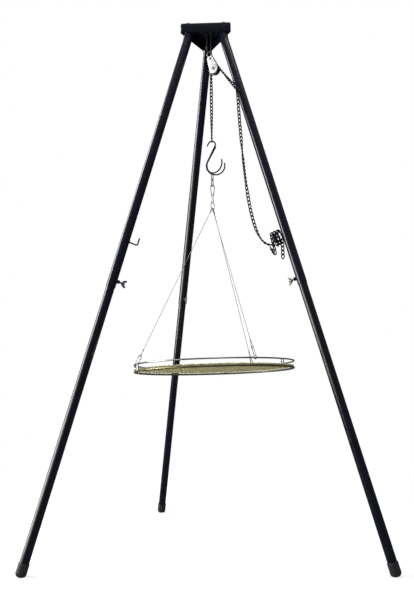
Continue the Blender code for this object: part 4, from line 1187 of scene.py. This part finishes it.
def s_hook():
    """Two rods welded side by side: one bent to an S, the other adding a second lower prong."""
    along = Vector((1, 0, 0))
    centre = HANG + Z * (HOOK_TOP - HOOK_ROD - HOOK_EYE_R)
    upper = arc(centre, along * HOOK_EYE_R, Z * HOOK_EYE_R, 150, -25, 22)
    tip = upper[0] - (along * 0.5 + Z * 0.866) * 0.0135
    upper = [*(tip.lerp(upper[0], k / 3) for k in range(3)), *upper]
    bow_r, aside, left = 0.036, 0.0135, 0.0225
    round_centre = HANG + along * aside + Z * (BOW_Z + sqrt(bow_r ** 2 - aside ** 2))
    bow = arc(round_centre, along * bow_r, Z * bow_r, 155, 375, 36)
    shank = [upper[-1].lerp(bow[0], k / 12) for k in range(13)]
    first = rod("s_hook_main", [*upper, *shank[1:-1], *bow], HOOK_ROD, 20, round_ends=True)
    pivot = HANG - along * left
    turn = Matrix.Translation(pivot) @ Matrix.Rotation(radians(-34), 4, "Z") \
        @ Matrix.Translation(-pivot)
    beside = Vector((0.0024, -0.0045, 0))
    start = Vector((0.0054, -0.0022, 0))
    weld = [spot + start.lerp(beside, k / 12) for k, spot in enumerate(shank)][1:-1]
    prong = [turn @ spot + beside for spot in bow]
    second = rod("prong", [*weld, *prong], HOOK_ROD, 20, round_ends=True)
    beads = []
    for k in range(9):
        spot = weld[0].lerp(weld[4], k * 0.09) - start * 0.5
        bm = bmesh.new()
        bmesh.ops.create_uvsphere(bm, u_segments=10, v_segments=6, radius=0.0022)
        beads.append(from_bmesh("bead", bm, Matrix.Translation(spot)))
    hook = combine(first, second)
    for bead in beads:
        hook = combine(hook, bead)
    hook.name = "s_hook_rods"
    return smooth(hook)


def snap_hook(name, bottom, along, across, hook_sizes, body, hook_node, gate_body, gate_node):
    """A spring hook's body and the gate that closes it, each dressed on its own body."""
    long, wide, narrow, rod_r = hook_sizes
    small, large = narrow / 2 - rod_r, wide / 2 - rod_r
    low = bottom + along * small
    high = bottom + along * (long - 2 * rod_r - large)
    first, last = low + across * small, high + across * large

    def on_side(share, shift=0.0):
        return first.lerp(last, share) + along * shift

    path = [on_side(0.14), on_side(0.10), on_side(0.04)]
    path += arc(low, across * small, -along * small, 0, 180, 14)
    path += arc(high, -across * large, along * large, 0, 180, 16)
    path += [on_side(0.95), on_side(0.82)]
    dress(rod(f"{name}_body", path, rod_r, 16, round_ends=True), "bright_zinc", body,
          "zinc_plate", hook_node)
    line = [on_side(0.16, 0.0003), on_side(0.3), on_side(0.6), on_side(0.80, -0.0003)]
    gate = rod(f"{name}_gate", line, rod_r * 0.82, 14, round_ends=True)
    dress(gate, "bright_zinc", gate_body, "zinc_plate", gate_node)


class SWINGGRILL_OT_hanger(bpy.types.Operator):
    """Makes the S-hook, its two links, the upper spring hook and the small link"""
    bl_idname = "swing_grill.hanger"
    bl_label = "Hook and hanger"

    def execute(self, context):
        dress(s_hook(), "blackened_chain", "hook", "black_chain", "s_hook")
        wire, long, wide = 0.0036, 0.0325, 0.0160
        half = (long - wire) / 2
        top = BOW_Z + HOOK_ROD + GAP + wire / 2
        for name, turn in (("upper", 30), ("lower", -30)):
            path = oval(HANG + Z * (top - half), Z, across_from_y(turn), long, wide, wire)
            dress(rod(f"hanger_{name}", path, wire / 2, 16, True), "hanger_steel", "hanger",
                  "black_chain", f"hanger_link_{name}")
            top = top - 2 * half + wire + GAP
        rod_r = TOP_SNAP[3]
        bottom = top - wire / 2 + 3 * rod_r - TOP_SNAP[0]
        snap_hook("hanger_snap", HANG + Z * bottom, Z, Vector((1, 0, 0)), TOP_SNAP, "hanger",
                  "top_snap_hook", "top_gate", "top_snap_gate")
        wire, long, wide = 0.0030, 0.036, 0.012
        centre = bottom + rod_r + GAP + wire / 2 - (long - wire) / 2
        path = oval(HANG + Z * centre, Z, across_from_y(SMALL_LINK_TURN), long, wide, wire)
        dress(rod("hanger_small", path, wire / 2, 16, True), "bright_zinc", "hanger",
              "zinc_plate", "small_link")
        return {"FINISHED"}


# grate

def grate_matrix():
    return Matrix.Translation(HANG + Z * GRATE_Z) @ Matrix.Rotation(GRATE_TILT[0], 4, "X") \
        @ Matrix.Rotation(GRATE_TILT[1], 4, "Y")


def ring_path(radius, height, count):
    return [Vector((radius * cos(2 * pi * k / count), radius * sin(2 * pi * k / count), height))
            for k in range(count)]


def mesh_group():
    """Crimped wires, woven over and under each other and cut to a circle."""
    group, tree, given, out = named_group(
        "crimped_mesh", "GeometryNodeTree",
        (("Geometry", "NodeSocketGeometry", None), ("Radius", "NodeSocketFloat", 0.294),
         ("Pitch", "NodeSocketFloat", 0.015), ("Wire radius", "NodeSocketFloat", 0.0011),
         ("Finish", "NodeSocketMaterial", None)), (("Mesh", "NodeSocketGeometry"),))
    radius, pitch, wire = given["Radius"], given["Pitch"], given["Wire radius"]
    each_way = tree.maths("FLOOR", tree.over(radius, pitch))
    first = tree.times(each_way, tree.times(pitch, -1.0))
    rows = tree.step("GeometryNodeMeshLine",
                     {"Count": tree.plus(tree.times(each_way, 2.0), 1.0),
                      "Start Location": tree.vector(0.0, first, 0.0),
                      "Offset": tree.vector(0.0, pitch, 0.0)}, mode="OFFSET")
    line = tree.step("GeometryNodeCurvePrimitiveLine",
                     {"Start": tree.vector(first, 0.0, 0.0),
                      "End": tree.vector(tree.times(first, -1.0), 0.0, 0.0)})
    steps = tree.step("GeometryNodeResampleCurve",
                      {"Curve": line, "Count": tree.plus(tree.times(each_way, 8.0), 1.0)},
                      mode="COUNT")
    copies = tree.step("GeometryNodeInstanceOnPoints", {"Points": rows, "Instance": steps})
    real = tree.step("GeometryNodeRealizeInstances", {0: copies})
    place = tree.parts(tree.step("GeometryNodeInputPosition"))
    chord = tree.minus(tree.times(radius, radius), tree.times(place[1], place[1]))
    half = tree.maths("SQRT", tree.maths("MAXIMUM", chord, 0.0))
    beyond = tree.maths("GREATER_THAN", tree.maths("ABSOLUTE", place[0]),
                        tree.plus(half, tree.times(pitch, 0.2)))
    cut = tree.step("GeometryNodeDeleteGeometry", {"Geometry": real, "Selection": beyond},
                    domain="POINT")
    held = tree.maths("MAXIMUM", tree.maths("MINIMUM", place[0], half), tree.times(half, -1.0))

    def wave(distance):
        return tree.maths("COSINE", tree.times(tree.over(distance, pitch), pi))

    lift = tree.times(tree.times(wave(held), wave(place[1])), wire)
    crimped = tree.step("GeometryNodeSetPosition",
                        {"Geometry": cut, "Position": tree.vector(held, place[1], lift)})
    solid = swept(tree, crimped, round_section(tree, wire, 6))
    other = tree.step("GeometryNodeTransform", {"Geometry": solid, "Rotation": (pi, 0, pi / 2)})
    both = tree.new("GeometryNodeJoinGeometry")
    tree.wire(solid, both.inputs[0])
    tree.wire(other, both.inputs[0])
    shade = tree.step("GeometryNodeSetShadeSmooth", {"Geometry": both.outputs[0]})
    finish_tree(tree, shade, given["Finish"], out)
    return group


def woven_mesh():
    given = sizes("grill_grate")
    obj = keep("grate_woven_mesh", bpy.data.meshes.new("grate_woven_mesh"))
    values = {"Radius": given.rim + 0.0025, "Pitch": given.mesh_pitch,
              "Wire radius": given.mesh_wire, "Finish": finish("plated_mesh")}
    run_tree(obj, mesh_group(), **values)
    made = applied(obj)
    height = given.rim_rod + GAP + 2 * given.mesh_wire
    return placed(made, grate_matrix() @ Matrix.Translation((0, 0, height)))


def grate_rail():
    given = sizes("grill_grate")
    rail = rod("grate_top_rail", ring_path(given.rail, RAIL_RISE, 192), given.rail_rod, 16, True)
    low = given.rim_rod * 0.9
    posts = []
    for azimuth in WIRES.values():
        for side in (-1, 1):
            a = radians(azimuth + 25) + side * 0.007 / given.rail
            foot = Vector((given.rail * cos(a), given.rail * sin(a), low))
            path = [foot + Z * ((RAIL_RISE - low) * k / 6) for k in range(7)]
            posts.append(rod("post", path, 0.0024, 16))
            posts.append(turned("weld", [(0, 0.0022), (0.0026, 0.0018), (0.0038, 0.0004),
                                         (0.0040, -0.0008), (0, -0.0010)],
                                Matrix.Translation(foot), 18))
    return joined("grate_top_rail", [rail, *posts])


def rope_group():
    """Six strands laid round each other along a curve."""
    if "laid_rope" in bpy.data.node_groups:
        return bpy.data.node_groups["laid_rope"]
    group, tree, given, out = named_group(
        "laid_rope", "GeometryNodeTree",
        (("Curve", "NodeSocketGeometry", None), ("Radius", "NodeSocketFloat", 0.001),
         ("Lay", "NodeSocketFloat", 0.011), ("Finish", "NodeSocketMaterial", None)),
        (("Rope", "NodeSocketGeometry"),))
    steps = tree.step("GeometryNodeResampleCurve",
                      {"Curve": given["Curve"], "Length": tree.over(given["Lay"], 7.0)},
                      mode="LENGTH")
    run = tree.new("GeometryNodeSplineParameter").outputs["Length"]
    line = tree.step("GeometryNodeSetCurveTilt",
                     {"Curve": steps, "Tilt": tree.times(tree.over(run, given["Lay"]), 2 * pi)})
    strands = 6
    turn = tree.times(tree.new("GeometryNodeSplineParameter").outputs["Factor"],
                      strands * 2 * pi)
    swell = tree.plus(tree.times(tree.maths("COSINE", turn), 0.11), 0.90)
    grown = tree.step("ShaderNodeVectorMath",
                      {0: tree.step("GeometryNodeInputPosition"), "Scale": swell},
                      operation="SCALE")
    section = tree.step("GeometryNodeSetPosition",
                        {"Geometry": round_section(tree, given["Radius"], 24),
                         "Position": grown})
    shade = tree.step("GeometryNodeSetShadeSmooth", {"Geometry": swept(tree, line, section)})
    finish_tree(tree, shade, given["Finish"], out)
    return group


def rope(name, path, radius, lay=0.011):
    """Six strands laid round each other, swept along the path."""
    curve = bpy.data.curves.new(name, "CURVE")
    curve.dimensions = "3D"
    spline = curve.splines.new("POLY")
    spline.points.add(len(path) - 1)
    for point, spot in zip(spline.points, path):
        point.co = (*spot, 1)
    obj = keep(name, curve)
    run_tree(obj, rope_group(), Radius=radius, Lay=lay, Finish=finish("galvanised_rope"))
    return applied(obj)


def hanging_wire(name, top, low, ring_way, rail_way):
    """A laid wire with a looped eye and a pressed ferrule at each end."""
    way = (top - low).normalized()
    upper_eye, lower_eye, thick, ferrule = 0.012, 0.020, 0.0011, 0.013
    first = (ring_way - way * ring_way.dot(way)).normalized()
    pieces = []
    for end, pull, size, wide, normal in ((top, -way, upper_eye, 0.008, first),
                                          (low, way, lower_eye, 0.011, rail_way)):
        across = way.cross(normal).normalized()
        neck = end + pull * (size - 0.0028)
        r = wide / 2 - thick
        centre = end + pull * (r - thick)
        loop = [neck + pull * 0.004 + across * (thick * 0.9)]
        loop += [neck + across * (thick * 1.1)]
        loop += arc(centre, across * r, -pull * r, -20, 200, 18)
        loop += [neck - across * (thick * 1.1), neck + pull * 0.004 - across * (thick * 0.9)]
        pieces.append(rope("eye", through(loop, 3), thick))
        sleeve = [(0, 0), (thick * 1.5, 0.0001), (thick * 2.05, 0.0008)]
        sleeve += [(thick * (2.12 - 0.16 * (k % 2)), 0.0012 + k * 0.00106) for k in range(11)]
        sleeve += [(thick * 2.05, ferrule - 0.0008), (thick * 1.5, ferrule - 0.0001),
                   (0, ferrule)]
        pieces.append(turned("ferrule", sleeve, Matrix.Translation(neck) @ turn_to(pull), 20))
    a, b = top - way * (upper_eye + 0.006), low + way * (lower_eye + 0.006)
    pieces.append(rope("line", [a.lerp(b, k / 24) for k in range(25)], thick))
    return joined(name, pieces)


class SWINGGRILL_OT_grate(bpy.types.Operator):
    """Makes the grate: rim, woven mesh, rail, wires, their ring and the rim's spring hooks"""
    bl_idname = "swing_grill.grate"
    bl_label = "Grate and wires"

    def execute(self, context):
        given = sizes("grill_grate")
        matrix = grate_matrix()
        rim = rod("grate_outer_rim", ring_path(given.rim, 0.0, 192), given.rim_rod, 20, True)
        dress(placed(rim, matrix), "plated_rim", "grate", "grate_plate", "grate_rim")
        dress(woven_mesh(), "plated_mesh", "grate", "mesh_steel", "grate_mesh")
        dress(placed(grate_rail(), matrix), "chromed_rail", "grate", "grate_plate",
              "grate_rail")
        ring_r, ring_rod, play = 0.014, 0.0015, 0.0010
        centre = joint_spot("grate_swing") - Z * ring_r
        flat = across_from_y(RING_TURN)
        path = arc(centre, flat * ring_r, Z * ring_r, 0, 360, 48)[:-1]
        dress(rod("wire_top_ring", path, ring_rod, 14, True), "bright_zinc", "grate",
              "zinc_plate", "wire_ring")
        shift = {"left": -0.0055, "near": 0.0, "far": 0.0055}
        for side, azimuth in WIRES.items():
            a = radians(azimuth)
            tangent = matrix.to_3x3() @ Vector((-sin(a), cos(a), 0))
            spot = matrix @ Vector((given.rail * cos(a), given.rail * sin(a), RAIL_RISE))
            lean = asin(shift[side] / ring_r)
            ring_spot = centre + (flat * sin(lean) - Z * cos(lean)) * ring_r
            way = (ring_spot - spot).normalized()
            out = tangent.cross(way).normalized()
            bottom = spot - way * (given.rail_rod + GAP + RIM_SNAP[3])
            snap_hook(f"rim_snap_{side}_hook", bottom, way, out, RIM_SNAP, "grate",
                      f"rim_snap_{side}", f"gate_{side}", f"rim_gate_{side}")
            low = bottom + way * (RIM_SNAP[0] - 3 * RIM_SNAP[3] - GAP - play)
            top = ring_spot + way * (ring_rod + GAP + play)
            ring_way = flat * cos(lean) + Z * sin(lean)
            wire = hanging_wire(f"hanging_wire_{side}", top, low, ring_way, out)
            dress(wire, "galvanised_rope", "grate", "wire_rope", f"wire_{side}")
        return {"FINISHED"}


# stage

def area_lamp(name, spot, target, size, power, colour=(1, 1, 1)):
    lamp = bpy.data.lights.new(name, "AREA")
    lamp.shape, lamp.size, lamp.size_y = "RECTANGLE", size[0], size[1]
    lamp.energy, lamp.color = power, colour
    obj = bpy.data.objects.new(name, lamp)
    bpy.context.scene.collection.objects.link(obj)
    way = (Vector(target) - Vector(spot)).normalized()
    obj.matrix_world = Matrix.Translation(spot) @ way.to_track_quat("-Z", "Y").to_matrix().to_4x4()


def background(tree, colour, strength):
    return tree.step("ShaderNodeBackground", {"Color": (*colour, 1), "Strength": strength})


def chosen(tree, share, first, second):
    return tree.step("ShaderNodeMixShader", {0: share, 1: first, 2: second})


def white_world():
    """White behind the object; what its surfaces mirror is dim, and brighter overhead."""
    world = bpy.data.worlds.new("studio")
    bpy.context.scene.world = world
    world.use_nodes = True
    tree = Tree(world.node_tree)
    world.node_tree.nodes.clear()
    height = tree.parts(tree.new("ShaderNodeTexCoord").outputs["Generated"])[2]
    soft = background(tree, (0.88, 0.92, 1.0), 0.75)
    seen = background(tree, (0.90, 0.94, 1.0), tree.spread(height, 0.0, 0.8, 0.05, 0.30))
    rays = tree.new("ShaderNodeLightPath").outputs
    mirrored = chosen(tree, rays["Is Glossy Ray"], soft, seen)
    shown = background(tree, (1, 1, 1), 1.0)
    tree.new("ShaderNodeOutputWorld",
             {"Surface": chosen(tree, rays["Is Camera Ray"], mirrored, shown)})


def floor_finish():
    """Pale floor: shaded near the object, white far from it, dim in what mirrors it."""
    made, tree, shader = new_material("pale_floor")
    shader.inputs["Base Color"].default_value = (0.86, 0.86, 0.86, 1)
    shader.inputs["Roughness"].default_value = 0.9
    place = tree.parts(tree.new("ShaderNodeTexCoord").outputs["Object"])
    away = tree.maths("SQRT", tree.plus(tree.times(place[0], place[0]),
                                        tree.times(place[1], place[1])))
    rays = tree.new("ShaderNodeLightPath").outputs
    share = tree.times(rays["Is Camera Ray"], tree.spread(away, 0.9, 2.4, 0.62, 1.0))
    glow = tree.step("ShaderNodeEmission", {"Color": (1, 1, 1, 1)})
    dim = tree.step("ShaderNodeEmission", {"Color": (0.11, 0.11, 0.12, 1)})
    shown = chosen(tree, share, shader.outputs[0], glow)
    output = made.node_tree.nodes["Material Output"]
    tree.wire(chosen(tree, rays["Is Glossy Ray"], shown, dim), output.inputs["Surface"])
    return made


def photo_camera():
    """Stands where the photograph was taken, with its frame of 414 by 600."""
    width, height = 414, 600
    centre_x, centre_y = 218.6, 295.622
    yaw, pitch, roll = radians(-1.886), radians(7.506), radians(-0.700)
    stand = MIDDLE + Vector((0.115, -2.3708, 0.610))
    way = Vector((sin(yaw) * cos(pitch), cos(yaw) * cos(pitch), sin(pitch)))
    level = Vector((cos(yaw), -sin(yaw), 0))
    above = level.cross(way)
    right = level * cos(roll) + above * sin(roll)
    up = above * cos(roll) - level * sin(roll)
    camera = bpy.data.cameras.new("photo_camera")
    camera.sensor_fit, camera.sensor_height = "VERTICAL", 36.0
    camera.lens = sizes("grill_stage").focal * camera.sensor_height / height
    camera.shift_x = (width / 2 - centre_x) / height
    camera.shift_y = (centre_y - height / 2) / height
    camera.clip_end = 200
    obj = bpy.data.objects.new("photo_camera", camera)
    bpy.context.scene.collection.objects.link(obj)
    turn = Matrix((right, up, -way)).transposed().to_4x4()
    obj.matrix_world = Matrix.Translation(stand) @ turn
    bpy.context.scene.camera = obj


class SWINGGRILL_OT_stage(bpy.types.Operator):
    """Sets the floor, the lights, the white background and the camera"""
    bl_idname = "swing_grill.stage"
    bl_label = "Stage"

    def execute(self, context):
        context.scene.view_settings.view_transform = "Standard"
        given = sizes("grill_stage")
        bm = bmesh.new()
        bmesh.ops.create_grid(bm, x_segments=1, y_segments=1, size=30.0)
        floor = from_bmesh("pale_floor", bm)
        floor.data.materials.append(floor_finish())
        white_world()
        area_lamp("left_strip", (-2.9, -0.45, 1.35), (0, 0, 1.3), (1.1, 2.3), given.key)
        area_lamp("left_high", (-2.7, 0.4, 3.1), (0, 0, 1.5), (1.0, 1.5), given.key * 0.5)
        area_lamp("warm_card", (-2.2, -1.6, 0.8), (0.3, 0, 0.7), (1.2, 1.1), given.fill * 0.4,
                  (1.0, 0.72, 0.55))
        area_lamp("top_soft", (0.2, -0.4, 3.9), (0, 0, 0), (2.2, 2.2), given.fill)
        photo_camera()
        return {"FINISHED"}


class SWINGGRILL_PT_panel(bpy.types.Panel):
    """Lists the grill's pieces and their sizes"""
    bl_label = "Swing grill"
    bl_space_type = "VIEW_3D"
    bl_region_type = "UI"
    bl_category = "Swing grill"

    def draw(self, context):
        for operator in OPERATORS:
            self.layout.operator(operator.bl_idname)
        for name, group in GROUPS.items():
            box = self.layout.box()
            box.label(text=group.__doc__)
            for field in group.__annotations__:
                box.prop(getattr(context.scene, name), field)


OPERATORS = (SWINGGRILL_OT_legs, SWINGGRILL_OT_head, SWINGGRILL_OT_pulley, SWINGGRILL_OT_chain,
             SWINGGRILL_OT_hanger, SWINGGRILL_OT_grate, SWINGGRILL_OT_stage)
GROUPS = {"grill_tubes": TubeSizes, "grill_chain": ChainSizes, "grill_grate": GrateSizes,
          "grill_finishes": FinishColours, "grill_stage": StageSettings}


def register():
    for made in (*GROUPS.values(), *OPERATORS, SWINGGRILL_PT_panel):
        bpy.utils.register_class(made)
    for name, group in GROUPS.items():
        setattr(bpy.types.Scene, name, PointerProperty(type=group))


def unregister():
    for name in GROUPS:
        delattr(bpy.types.Scene, name)
    for made in reversed((*GROUPS.values(), *OPERATORS, SWINGGRILL_PT_panel)):
        bpy.utils.unregister_class(made)


def main():
    register()
    for operator in OPERATORS:
        group, name = operator.bl_idname.split(".")
        getattr(getattr(bpy.ops, group), name)()


if __name__ == "__main__":
    main()
